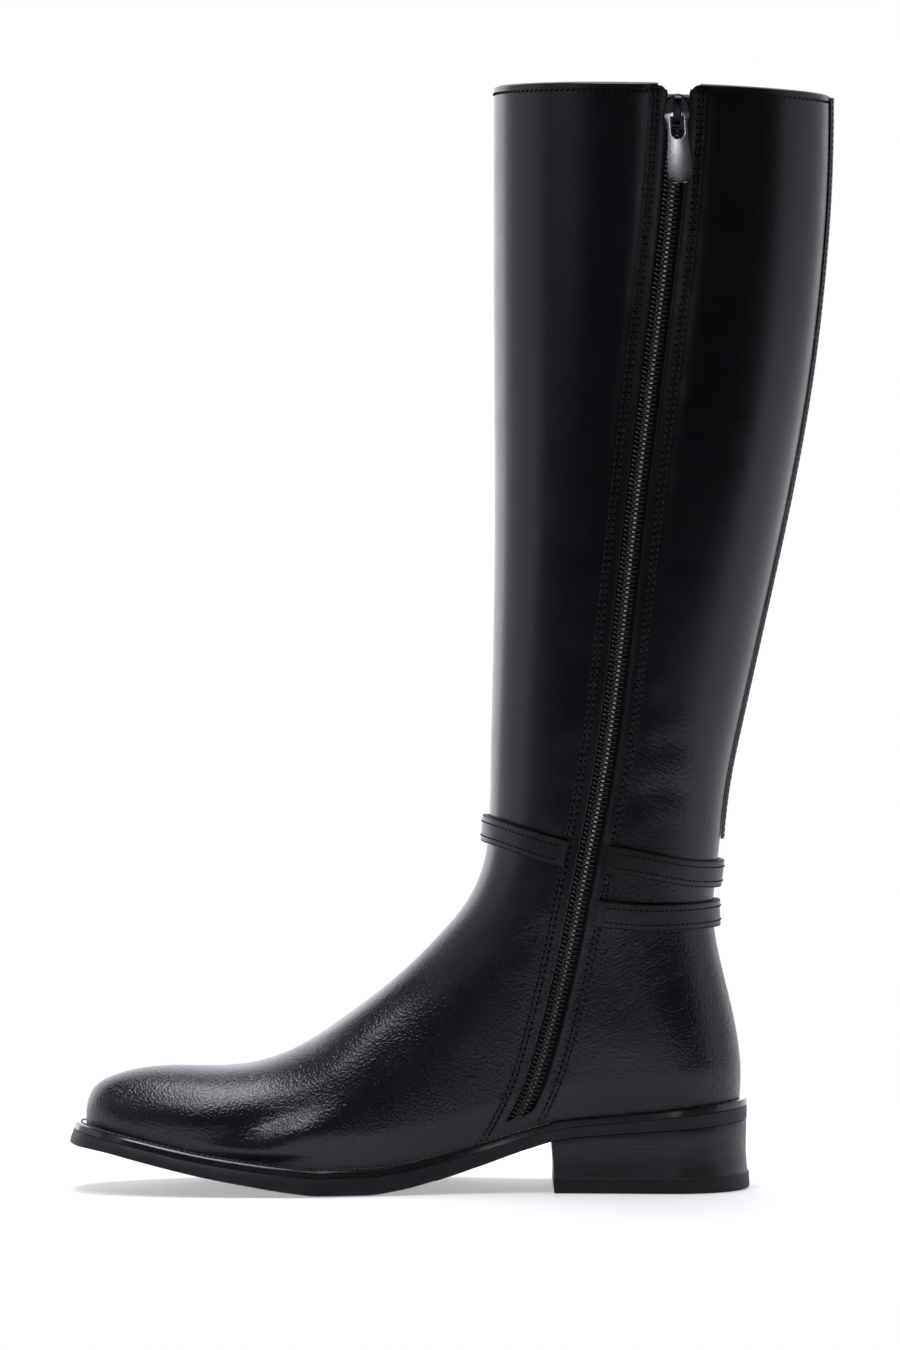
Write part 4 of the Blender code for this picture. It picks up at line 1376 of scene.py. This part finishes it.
def build_collar_stitches():
    """One row of stitches below the collar's edge, left out at the zip."""
    drops = (COLLAR_ROW - 0.5, COLLAR_ROW, COLLAR_ROW + 0.5)
    grid = np.array([even_points(collar_row(0.0, drop), 700) for drop in drops])
    normals = grid_normals(grid, from_axis(grid.copy()))[1]
    line = grid[1]
    clear = (np.abs(line[:, 0] - slot_x(line[:, 2])) > SLOT_HALF + FLAP_CORNER + 0.6) | (line[:, 1] > 0)
    rows = [(line[start:end], normals[start:end]) for start, end in clear_runs(clear)]
    seam("collar_stitches", rows, COLLAR_STITCH, "sunk_thread", "leather", slant=0.9, fill=0.7)


def clear_runs(clear):
    """First and last index of each run of true values."""
    change = np.flatnonzero(np.diff(np.concatenate(([0], clear.astype(int), [0]))))
    return [(a, b) for a, b in change.reshape(-1, 2) if b - a > 3]


# Straps and back strip


def on_form(spots, count, search, offset):
    """Points where lines leave the form grown by an offset. Spots gives their x, y and z at a reach."""
    near, far = (np.full(count, reach) for reach in search)
    for _ in range(SEARCH_STEPS):
        reach = (near + far) / 2
        x, y, z = spots(reach)
        within = np.abs(y - middle(x, z)) < half_width(x, z, offset)
        near, far = np.where(within, reach, near), np.where(within, far, reach)
    return np.column_stack((x, y, z))


def ring_points(angle, line, rise, offset):
    """Points round the ankle at these angles, on the form grown by an offset."""

    def spots(reach):
        x = ANKLE_AXIS_X + reach * np.cos(angle)
        return x, reach * np.sin(angle), spline(line["x"], line["z"], x) + rise

    return on_form(spots, len(angle), STRAP_SEARCH, offset)


def angle_at(x, line, rise, side):
    """Angle round the ankle at which a strap edge reaches this x on one side."""
    x = np.array([x])
    z = spline(line["x"], line["z"], x) + rise
    y = middle(x, z) + side * half_width(x, z, GAP)
    return math.atan2(y[0], x[0] - ANKLE_AXIS_X)


def zip_edge_x(line, rise, clearance):
    """Where a strap edge meets a line beside the zip."""
    x = ANKLE_AXIS_X
    for _ in range(ZIP_EDGE_ROUNDS):
        z = spline(line["x"], line["z"], np.array([x])) + rise
        x = zip_x(z)[0] + clearance
    return x


# Height of a strap's face across its width, as a share of its thickness
STRAP_FACE = table(
    "across height",
    (0.0, 1.00),
    (0.25, 1.00),
    (0.54, 0.99),
    (0.80, 0.99),
    (0.86, 0.985),
    (0.93, 0.98),
    (1.00, 0.88),
)
STRAP_ACROSS = mirrored(STRAP_FACE["across"])


def build_strap(name, node_name, line, ends):
    """A strap round the ankle with its two rows of stitching and a thinned end."""
    half = STRAP_WIDTH / 2
    share = np.linspace(0, 1, STRAP_SECTIONS)
    base = []
    for across in STRAP_ACROSS:
        first, last = ends(across * half)
        base.append(ring_points(first + (last - first) * share, line, across * half, STRAP_GAP))
    base = np.array(base).transpose(1, 0, 2)
    normals = grid_normals(base, from_axis(base.copy()))
    height = STRAP_THICKNESS * np.interp(np.abs(STRAP_ACROSS), STRAP_FACE["across"], STRAP_FACE["height"])
    run = run_along(base[:, base.shape[1] // 2])
    to_end = np.minimum(run, run[-1] - run)
    end_drop = 1 - sum(loss * (1 - ramp(to_end, *stretch)) for loss, *stretch in STRAP_END_LOSS)
    face = base + normals * (height[None, :] * end_drop[:, None])[..., None]
    points, faces = shell(face, base)
    sides = np.zeros((face.shape[0] - 1, face.shape[1] - 1), int)
    # Edge paint on the rim and outermost strips; at the lower edge it reaches one strip further onto the
    # face, as painted shade under the strap
    sides[:, [0, 1, -1]] = 1
    kinds = np.concatenate((sides.ravel(), 0 * sides.ravel(), np.ones(len(faces) - 2 * sides.size, int)))
    piece(name, points, faces, [LOOKS["strap"], LOOKS["edge_paint_and_shade"]], slot="strap_leather",
          stands_for=(node_name,), face_looks=kinds, sharp=28)
    rows = []
    inside = to_end > STRAP_END_ROW
    for across in (-STRAP_ROW_SHARE, STRAP_ROW_SHARE):
        column = np.argmin(np.abs(STRAP_ACROSS - across))
        rows.append([even_points(each[inside, column], ROW_POINTS) for each in (face, normals)])
    seam(name + "_stitches", rows, STRAP_STITCH, "sunk_thread", "strap_leather", fill=0.62)


def build_straps():
    turn = 2 * math.pi

    def upper_ends(rise):
        front = angle_at(zip_edge_x(UPPER_STRAP_LINE, rise, STRAP_FRONT_CLEAR), UPPER_STRAP_LINE, rise, -1)
        back = angle_at(zip_edge_x(UPPER_STRAP_LINE, rise, STRAP_BACK_CLEAR), UPPER_STRAP_LINE, rise, -1)
        return front + turn, back

    def lower_ends(rise):
        outer = angle_at(LOWER_STRAP_END_X, LOWER_STRAP_LINE, rise, 1)
        back = angle_at(zip_edge_x(LOWER_STRAP_LINE, rise, STRAP_BACK_CLEAR), LOWER_STRAP_LINE, rise, -1)
        return outer, back

    build_strap("ankle_strap", "strap_upper", UPPER_STRAP_LINE, upper_ends)
    build_strap("heel_strap", "strap_lower", LOWER_STRAP_LINE, lower_ends)


# Thickness of the back strip across its half width, as a share of its full thickness
STAY_FACE = table(
    "across height",
    (0.0, 1.0),
    (0.28, 1.0),
    (0.55, 1.0),
    (0.78, 0.85),
    (0.9, 0.6),
    (0.97, 0.32),
    (1.0, 0.2),
)


def build_back_stay():
    """The strip down the back of the shaft, thinned at its edges and stitched down each side."""
    rise = np.linspace(STAY_FOOT[1] + 3, COLLAR_BACK_Z - 0.2, 90)
    z = np.concatenate((np.linspace(*STAY_FOOT, 16), rise))
    across = mirrored(STAY_FACE["across"])
    half = monotone(STAY["z"], STAY["half_width"], z)
    y = half[:, None] * across
    level = np.broadcast_to(z[:, None], y.shape)
    base = on_form(lambda x: (x, y.ravel(), level.ravel()), y.size, STAY_SEARCH, GAP).reshape(*y.shape, 3)
    normals = grid_normals(base, from_axis(base.copy()))
    height = STAY_THICKNESS * np.interp(np.abs(across), STAY_FACE["across"], STAY_FACE["height"])
    face = base + normals * height[None, :, None]
    piece("back_strip", *shell(face, base), LOOKS["stay"], slot="stay_leather", stands_for=("back_stay",),
          sharp=50)
    rows = []
    share = 1 - STAY_ROW / half
    clear = share > STAY_ROW_LEAST
    middle_column = len(across) // 2
    for side in (-1, 1):
        line = np.array([values_at(side * part, across, row) for part, row in zip(share, face)])
        rows.append([even_points(each[clear], ROW_POINTS) for each in (line, normals[:, middle_column])])
    seam("back_strip_stitches", rows, ZIP_STITCH, "sunk_thread", "stay_leather", radius=0.14)


# Zip


def build_tape():
    """The woven tape behind the opening, narrower at the foot."""
    z = np.linspace(SLOT_BOTTOM_Z + 0.4, COLLAR_BACK_Z - 1.5, 160)
    half = TAPE_FOOT_HALF + (TAPE_HALF - TAPE_FOOT_HALF) * ease((z - SLOT_BOTTOM_Z) / TAPE_FOOT_HEIGHT)
    across = np.linspace(-1, 1, 15)
    high = -UPPER_WALL - TAPE_GAP
    grids = []
    for offset in (high, high - TAPE_THICKNESS):
        x = zip_x(z)[:, None] + half[:, None] * across
        level = np.broadcast_to(z[:, None], x.shape)
        grids.append(inner_side(x.ravel(), level.ravel(), offset).reshape(*x.shape, 3))
    piece("zip_fabric", *shell(*grids), LOOKS["tape"], slot="zip_tape", stands_for=("zip_tape",))


# One tooth of the coil, from its outer edge to its head past the middle
TOOTH = table(
    "across out along radius flat",
    (3.45, -1.80, 0.55, 0.80, 1.0),
    (3.42, -0.95, 0.53, 0.85, 1.0),
    (3.10, -0.48, 0.46, 0.90, 1.0),
    (2.30, -0.28, 0.32, 0.85, 1.0),
    (1.30, -0.25, 0.16, 0.78, 1.0),
    (0.40, -0.18, 0.04, 0.78, 1.0),
    (-0.15, 0.00, 0.00, 1.00, 1.0),
    (-0.55, 0.10, 0.00, 1.20, 0.9),
    (-0.95, 0.00, 0.00, 1.00, 1.0),
    (-1.20, -0.35, 0.00, 0.70, 1.0),
)
# Rows of a tooth at its head, whose outward faces get the painted highlight
TOOTH_HEAD = (6, 8)
TOOTH_SIDES = 8


def build_coil():
    """The closed coil: teeth from both sides in turn, each curving down to a round head past the middle."""
    z = np.linspace(SLOT_BOTTOM_Z + 0.4, PIN_Z - 4.0, 900)
    line = inner_side(zip_x(z), z, -COIL_DEPTH)
    normals = side_normals(line)
    run = run_along(line)
    parts, kinds = [], []
    for side, start in ((-1, 0.0), (1, COIL_PITCH / 2)):
        at = np.arange(start + COIL_END, run[-1] - COIL_END, COIL_PITCH)
        centre, up, ahead = stand_at(at, line, normals)
        back = unit(np.cross(ahead, up))
        back *= np.sign(back[:, :1])
        paths = (
            centre[:, None]
            + back[:, None] * (side * TOOTH["across"])[None, :, None]
            + up[:, None] * TOOTH["out"][None, :, None]
            + ahead[:, None] * (COIL_SLOPES[side] * TOOTH["along"])[None, :, None]
        )
        radii = COIL_RADIUS * np.column_stack((TOOTH["radius"] * TOOTH["flat"], TOOTH["radius"]))
        parts.append(tubes(paths, np.repeat(up[:, None], len(TOOTH["out"]), 1), radii, sides=TOOTH_SIDES))
        # Painted highlight: the outward faces of one side's heads get the light grey glint look
        painted_glint = np.zeros((len(TOOTH["out"]) - 1, TOOTH_SIDES), int)
        if side == -1:
            painted_glint[slice(*TOOTH_HEAD), [0, -1]] = 1
        kinds += np.tile(np.append(painted_glint.ravel(), (0, 0)), len(at)).tolist()
    piece("zip_coil", *merge(parts), [LOOKS["coil"], LOOKS["coil_head"]], slot="zip_coil",
          stands_for=("zip_chain",), sharp=70, face_looks=kinds)


def zip_frame(lean):
    """Frame on the leather at the slider: across, down and out, turned in its plane by lean."""
    x, z = float(zip_x(PIN_Z)), PIN_Z
    step = 2.0
    points = inner_side(
        np.array([x, x - step, x + step, zip_x(z - step), zip_x(z + step)]),
        np.array([z, z, z, z - step, z + step]), 0.0)
    down = Vector(points[3] - points[4]).normalized()
    across = Vector(points[2] - points[1])
    out = across.cross(down).normalized()
    if out.y > 0:
        out = -out
    if lean is not None:
        angle = math.radians(lean)
        down = Vector((math.sin(angle), 0.0, -math.cos(angle)))
        down = (down - out * down.dot(out)).normalized()
    across = down.cross(out)
    made = Matrix((across, down, out)).transposed().to_4x4()
    made.translation = Vector(points[0]) * MM + out * PIN_HEIGHT * MM
    return made


def both_sides(rows):
    """A closed outline from half widths listed downwards."""
    return [(wide, down) for down, wide in rows] + [(-wide, down) for down, wide in rows[::-1]]


def prism_data(outline, low, high):
    """Points and faces of a flat outline, thickened along its out direction."""
    return [(a, b, n) for n in (low, high) for a, b in outline], capped_faces(2, len(outline))


def soften(made, width, segments=3):
    edge = made.modifiers.new("edge", "BEVEL")
    edge.width = width * MM
    edge.segments = segments
    edge.limit_method = "ANGLE"
    edge.angle_limit = math.radians(35)
    edge.harden_normals = False


def build_slider():
    """The slider's body, rounded at the top and tapered below, and the bridge that holds the tab."""
    matrix = zip_frame(None)
    rise = [(-PLATE_RISE * math.cos(t), PLATE_HALF * math.sin(t)) for t in np.linspace(0.12, math.pi / 2, 18)]
    taper = [(PLATE_DROP - up, PLATE_HALF - less) for up, less in ((2.6, 0.3), (1.0, 0.7), (0.2, 1.2))]
    solid = prism_data(both_sides(rise + taper), PLATE_LOW - PIN_HEIGHT, PLATE_HIGH - PIN_HEIGHT)
    body = piece("slider_body", *solid, LOOKS["slider"], slot="slider_metal", stands_for=("zip_slider",),
                 matrix=matrix)
    soften(body, 0.55)
    sunk = PLATE_HIGH - PIN_HEIGHT - 0.6
    room, high = 1.15, 2.0
    arch = [
        (-7.3, sunk), (-7.3, 0.2), (-7.0, 0.9), (-6.4, 1.5), (-5.6, 1.85), (-4.6, high),
        (2.8, high), (3.7, 1.85), (4.4, 1.4), (4.9, 0.8), (5.1, 0.2), (5.1, sunk),
        (2.4, sunk), (2.4, room), (-2.4, room), (-2.4, sunk),
    ]
    points = [(a, b, n) for a in (-BRIDGE_HALF, BRIDGE_HALF) for b, n in arch]
    bridge = piece("slider_bridge", points, capped_faces(2, len(arch)), LOOKS["slider"], slot="slider_metal",
                   matrix=matrix)
    soften(bridge, 0.35)


def build_pull_tab():
    """The bare metal tab with its window, hanging on the slider's bridge, crowned and bowed inwards below."""
    matrix = zip_frame(TAB_LEAN_DEG)
    half = TAB_THICKNESS / 2
    stretches = ((-0.9, 3.0, 18), (3.6, 22.0, 16), (22.6, 26.1, 14))
    down = np.concatenate([np.linspace(*stretch) for stretch in stretches])
    across = np.linspace(-1, 1, 13)
    wide = monotone(TAB["down"], TAB["half_width"], down)[:, None] * across
    level_down = np.broadcast_to(down[:, None], wide.shape)
    bow = -TAB_BOW * np.maximum((level_down - TAB_BOW_START) / TAB_BOW_LENGTH, 0) ** 2
    face = np.stack((wide, level_down, half - TAB_CROWN * across**2 + bow), -1)
    back = np.stack((wide, level_down, -half + bow), -1)
    tab = piece("pull_tab", *shell(face, back), LOOKS["tab"], body="pull_tab", slot="tab_metal",
                stands_for=("zip_pull_tab",), matrix=matrix)
    side = [(PIN_HALF, WINDOW_HALF), (WINDOW_LENGTH - WINDOW_HALF, WINDOW_HALF)]
    end = [
        (WINDOW_LENGTH - WINDOW_HALF * (1 - math.sin(t)), WINDOW_HALF * math.cos(t))
        for t in np.linspace(0, 1.45, 16)[1:]
    ]
    window = prism_data(both_sides(side + end), -2.0, 2.0)
    cut_out(tab, piece("tab_window", *window, LOOKS["tab"], body="pull_tab", matrix=matrix))
    soften(tab, 0.3)


# Sole


def outline(share, toe_grow, heel_grow, side_grow, front_x=None):
    """Both sides of the foot's outline, grown or shrunk. Stations run from the toe or from front_x."""
    front, back = TOE_X - toe_grow, HEEL_X + heel_grow
    start = front if front_x is None else front_x
    x = start + (back - start) * share
    width = spline(FOOT["x"], FOOT["half_width"], x) + side_grow(x)
    width = width * rounding((x - front) / (TOE_ROUND + toe_grow))
    width = width * rounding((back - x) / (HEEL_ROUND + heel_grow))
    centre = spline(FOOT["x"], FOOT["middle"], x)
    return x, centre - width, centre + width


def edge_outline(share, toe, heel, front_x=None):
    """The welt line, changed by these amounts at the forefoot and at the heel."""

    def side(x):
        return spline(FOOT["x"], FOOT["welt"], x) + np.interp(x, FOREFOOT_TO_HEEL, (toe, heel))

    return outline(share, FOOT["welt"][0] + toe, FOOT["welt"][-1] + heel, side, front_x)


def level(sides, z):
    x, inner, outer = sides
    z = z(x) if callable(z) else np.full(len(x), float(z))
    return np.column_stack((x, inner, z)), np.column_stack((x, outer, z))


def plate(levels):
    """Points and faces of a solid between two sides of an outline, from its lowest level to its highest."""
    stations = len(levels[0][0])
    points = np.concatenate([np.concatenate(each) for each in levels])
    size = 2 * stations
    faces = []
    for i in range(len(levels) - 1):
        low, high = i * size, (i + 1) * size
        for side in (0, stations):
            for k in range(side, side + stations - 1):
                faces.append((low + k, low + k + 1, high + k + 1, high + k))
        for k in (0, stations - 1):
            faces.append((low + k, low + stations + k, high + stations + k, high + k))
    for base in (0, (len(levels) - 1) * size):
        for k in range(stations - 1):
            faces.append((base + k, base + k + 1, base + stations + k + 1, base + stations + k))
    return points, faces


def sole_stations():
    """Shares of the sole's length for its stations, and which of them lie between two ribs."""
    length = HEEL_X - TOE_X + FOOT["welt"][0] + FOOT["welt"][-1]
    rib_end = (RIB_END_X - TOE_X + FOOT["welt"][0]) / length
    toe = 0.02 * np.linspace(0, 1, 24, endpoint=False) ** 2
    ribs = np.arange(0.02, rib_end, RIB_PITCH / 2 / length)
    arch = np.linspace(ribs[-1], 0.9, 90)[1:]
    heel = 0.9 + 0.1 * np.sin(np.linspace(0, math.pi / 2, 60))[1:]
    share = np.concatenate((toe, ribs, arch, heel))
    notched = np.zeros(len(share))
    notched[len(toe):len(toe) + len(ribs):2] = 1
    return share, notched


def build_outsole():
    """The rubber sole, finely ribbed across underneath ahead of the arch."""
    share, notched = sole_stations()

    def low_z(x):
        return sole_z(x) - TOE_FALL * ease((TOE_FALL_X - x) / TOE_FALL_LENGTH) + RIB_DEPTH * notched

    def part_way(share):
        return lambda x: low_z(x) + share * (welt_low(x) - low_z(x))

    steps = [
        (-TREAD_ROLL, -0.4, low_z),
        (0.0, 0.0, part_way(0.06)),
        (-0.4, 0.0, part_way(0.35)),
        (-EDGE_SLANT, 0.0, part_way(0.95)),
        (-EDGE_SLANT - 0.25, -0.25, part_way(1.0)),
    ]
    piece("outsole_rubber", *plate([level(edge_outline(share, toe, heel), z) for toe, heel, z in steps]),
          LOOKS["rubber"], slot="sole_rubber", stands_for=("outsole",), sharp=40)


# Edge of the welt from its foot to its top: change at the forefoot and at the heel, and rise
WELT_STEPS = (
    (-EDGE_SLANT - 0.25, -0.25, 0.0),
    (-EDGE_SLANT, 0.0, 0.2),
    (-EDGE_SLANT - 0.45, -0.12, 2.1),
    (-EDGE_SLANT - 0.68, -0.16, 2.42),
    (-EDGE_SLANT - 0.95, -0.22, 2.70),
    (-EDGE_SLANT - 1.7, -1.1, 2.95),
    (-EDGE_SLANT - 2.6, -1.8, WELT_THICKNESS),
)


def build_welt():
    """The bevelled welt with its row of stitching on top."""
    share = sole_stations()[0]

    def welt_level(stations, toe, heel, rise):
        return level(edge_outline(stations, toe, heel), lambda x: welt_low(x) + rise)

    piece("welt_strip", *plate([welt_level(share, *step) for step in WELT_STEPS]), LOOKS["welt"],
          slot="welt_leather", stands_for=("welt",), sharp=14)
    up = np.array([0.0, 0.0, 1.0])
    rows = []
    for line in welt_level(round_trip(400), -EDGE_SLANT - WELT_ROW[0], -WELT_ROW[1], WELT_THICKNESS):
        line = even_points(line[line[:, 0] < BREAST_X], 1500)
        rows.append((line, np.broadcast_to(up, line.shape)))
    seam("welt_stitches", rows, WELT_STITCH, "welt_thread_and_glint", "welt_leather", radius=0.24)


# Change of the heel's outline and rake of its breast, from the lift up to the seat
HEEL_WAIST = table(
    "share change rake",
    (0.0, 0.3, 1.0),
    (0.45, -0.35, 0.6),
    (0.97, -0.1, 0.0),
    (1.0, -0.25, 0.0),
)


def build_heel():
    """The stacked heel, slightly waisted, with the lift under it."""
    trip = np.sin(np.linspace(0, math.pi / 2, HEEL_STATIONS))
    low = TOP_PIECE_HEIGHT + SOLE_JOINT

    def ring(change, rake):
        return edge_outline(trip, change, change, BREAST_X + rake * BREAST_RAKE)

    def stack_z(share):
        return lambda x: low + share * (sole_z(x) - SOLE_JOINT - low)

    shares = np.array([0.0, 0.12, 0.25, 0.4, 0.55, 0.7, 0.85, 0.97, 1.0])
    changes, rakes = (monotone(HEEL_WAIST["share"], HEEL_WAIST[name], shares) for name in ("change", "rake"))
    levels = [level(ring(*edge), stack_z(share)) for *edge, share in zip(changes, rakes, shares)]
    piece("heel_layers", *plate(levels), LOOKS["heel"], slot="heel_leather", stands_for=("heel_stack",),
          sharp=45)
    top = TOP_PIECE_HEIGHT
    lift = [(0.4, 0.0), (0.85, 0.25), (1.1, 0.8), (1.0, 3.2), (0.85, top - 0.25), (0.6, top)]
    piece("heel_lift", *plate([level(ring(change, 1.0), z) for change, z in lift]), LOOKS["top_piece"],
          slot="lift_rubber", stands_for=("heel_top_piece",), sharp=45)


def build_insole():
    """The sock lining on its board, rounded over at the edge."""
    trip = round_trip(160)

    def board(change, rise):
        grow = change - INSOLE_INSET
        return level(outline(trip, grow, grow, lambda x: grow), lambda x: feather_z(x) + rise)

    steps = [(0.0, 0.0), (0.0, 1.4), (-0.5, 1.9), (-1.2, INSOLE_THICKNESS)]
    piece("sock_lining", *plate([board(*step) for step in steps]), LOOKS["insole"], slot="insole_leather",
          stands_for=("insole",), sharp=45)


# Camera, light and floor

CAMERA_DISTANCE = 3.0
CAMERA_HEIGHT = 0.30
FRAME_HEIGHT = 0.5265
FRAME_CENTRE = (-0.0006, 0.0, 0.200)
SENSOR = 36.0
FLOOR_REACH = 4.0
FLOOR_WHITE = (0.25, 0.45)
FLOOR_DARK = (0.22, 0.60)
FLOOR_GLOW = 0.4
FLOOR_DROP = 0.0002
ROOM_BRIGHTNESS = 0.02

# Soft panels behind, beside, above and in front of the boot, in metres: name, place, aim, size and brightness
PANELS = [
    ("top_panel", (-0.03, 0.32, 2.2), (-0.03, 0.20, 0.0), (0.95, 1.25), 7.5),
    ("top_front_panel", (-0.12, -0.55, 2.1), (-0.10, 0.0, 0.0), (0.55, 0.5), 6.0),
    ("key_panel", (-0.55, -0.80, 2.0), (-0.07, -0.03, 0.03), (0.32, 0.32), 17.0),
    ("front_panel", (0.22, -4.0, 0.62), (0.0, 0.0, 0.4), (0.45, 0.7), 2.2),
    ("back_panel", (-0.75, 1.7, 0.75), (-0.75, 0.0, 0.75), (2.5, 1.5), 1.7),
    ("left_panel", (-1.3, 0.62, 0.8), (0.0, 0.62, 0.8), (2.15, 1.6), 0.58),
    ("left_front_panel", (-1.15, -0.95, 0.85), (0.0, 0.0, 0.3), (0.7, 1.1), 0.4),
    ("right_panel", (1.3, 0.42, 1.1), (0.0, 0.42, 1.1), (1.7, 2.2), 0.52),
    ("right_back_panel", (0.95, 1.45, 0.6), (0.0, 0.0, 0.3), (0.8, 1.2), 1.0),
]


def stand(made, spot, aim_at):
    """Puts a camera or a lamp in its place, turned to what it aims at."""
    made.location = spot
    made.rotation_mode = "QUATERNION"
    made.rotation_quaternion = (Vector(aim_at) - Vector(spot)).to_track_quat("-Z", "Y")
    bpy.context.scene.collection.objects.link(made)


def build_camera():
    data = bpy.data.cameras.new("photo_camera")
    data.sensor_width = SENSOR
    spot = Vector((FRAME_CENTRE[0], -CAMERA_DISTANCE, CAMERA_HEIGHT))
    data.lens = SENSOR * (Vector(FRAME_CENTRE) - spot).length / FRAME_HEIGHT
    data.clip_end = 50.0
    made = bpy.data.objects.new("photo_camera", data)
    stand(made, spot, FRAME_CENTRE)
    bpy.context.scene.camera = made


def panel(name, place_at, aim_at, size, brightness):
    """A soft panel that shines evenly and stays out of the picture."""
    data = bpy.data.lights.new(name, "AREA")
    data.shape = "RECTANGLE"
    data.size, data.size_y = size
    data.energy = math.pi * size[0] * size[1] * brightness
    data.color = COOL_TINT[:3]
    made = bpy.data.objects.new(name, data)
    made.visible_camera = False
    stand(made, place_at, aim_at)


def build_floor():
    """A white floor: lit near the boot, plain white beyond for the camera, dark in front in reflections."""
    mesh = bpy.data.meshes.new("studio_floor")
    corners = [(x * FLOOR_REACH, y * FLOOR_REACH, 0) for x, y in ((-1, -1), (1, -1), (1, 1), (-1, 1))]
    mesh.from_pydata(corners, [], [(0, 1, 2, 3)])
    made, tree, shader = look("studio_floor", (0.93, 0.93, 0.93), 0.7, Specular_IOR_Level=0.2)
    seen = node(tree, "LightPath").outputs["Is Camera Ray"]
    where = place(tree)
    away = node(tree, "VectorMath", {0: where}, operation="LENGTH").outputs["Value"]
    ahead = times(tree, node(tree, "SeparateXYZ", {0: where}).outputs["Y"], -1.0)
    white, dark = spread(tree, away, *FLOOR_WHITE), spread(tree, ahead, *FLOOR_DARK)
    far = math_node(tree, "MULTIPLY_ADD", seen, math_node(tree, "SUBTRACT", white, dark), dark)
    lift = node(tree, "Emission", {"Strength": times(tree, seen, FLOOR_GLOW)}).outputs["Emission"]
    near = node(tree, "AddShader", {0: shader.outputs["BSDF"], 1: lift}).outputs["Shader"]
    glow = node(tree, "Emission", {"Strength": seen}).outputs["Emission"]
    mixed = node(tree, "MixShader", {0: far, 1: near, 2: glow})
    tree.links.new(mixed.outputs["Shader"], tree.nodes["Material Output"].inputs["Surface"])
    mesh.materials.append(made)
    floor = bpy.data.objects.new("studio_floor", mesh)
    floor.location = (0.0, 0.0, -FLOOR_DROP)
    bpy.context.scene.collection.objects.link(floor)


def build_stage():
    """The room, the floor and the soft panels."""
    scene = bpy.context.scene
    scene.view_settings.view_transform = "Standard"
    scene.view_settings.look = "None"
    world = bpy.data.worlds.new("studio")
    scene.world = world
    world.use_nodes = True
    tree = world.node_tree
    seen = node(tree, "LightPath").outputs["Is Camera Ray"]
    background = tree.nodes["Background"]
    background.inputs["Color"].default_value = (1.0, 1.0, 1.0, 1.0)
    tree.links.new(spread(tree, seen, 0.0, 1.0, ROOM_BRIGHTNESS, 1.0), background.inputs["Strength"])
    build_floor()
    for row in PANELS:
        panel(*row)


build_camera()
build_stage()
build_upper()
build_zip_edges()
build_collar_stitches()
build_straps()
build_back_stay()
build_tape()
build_coil()
build_slider()
build_pull_tab()
build_outsole()
build_welt()
build_heel()
build_insole()
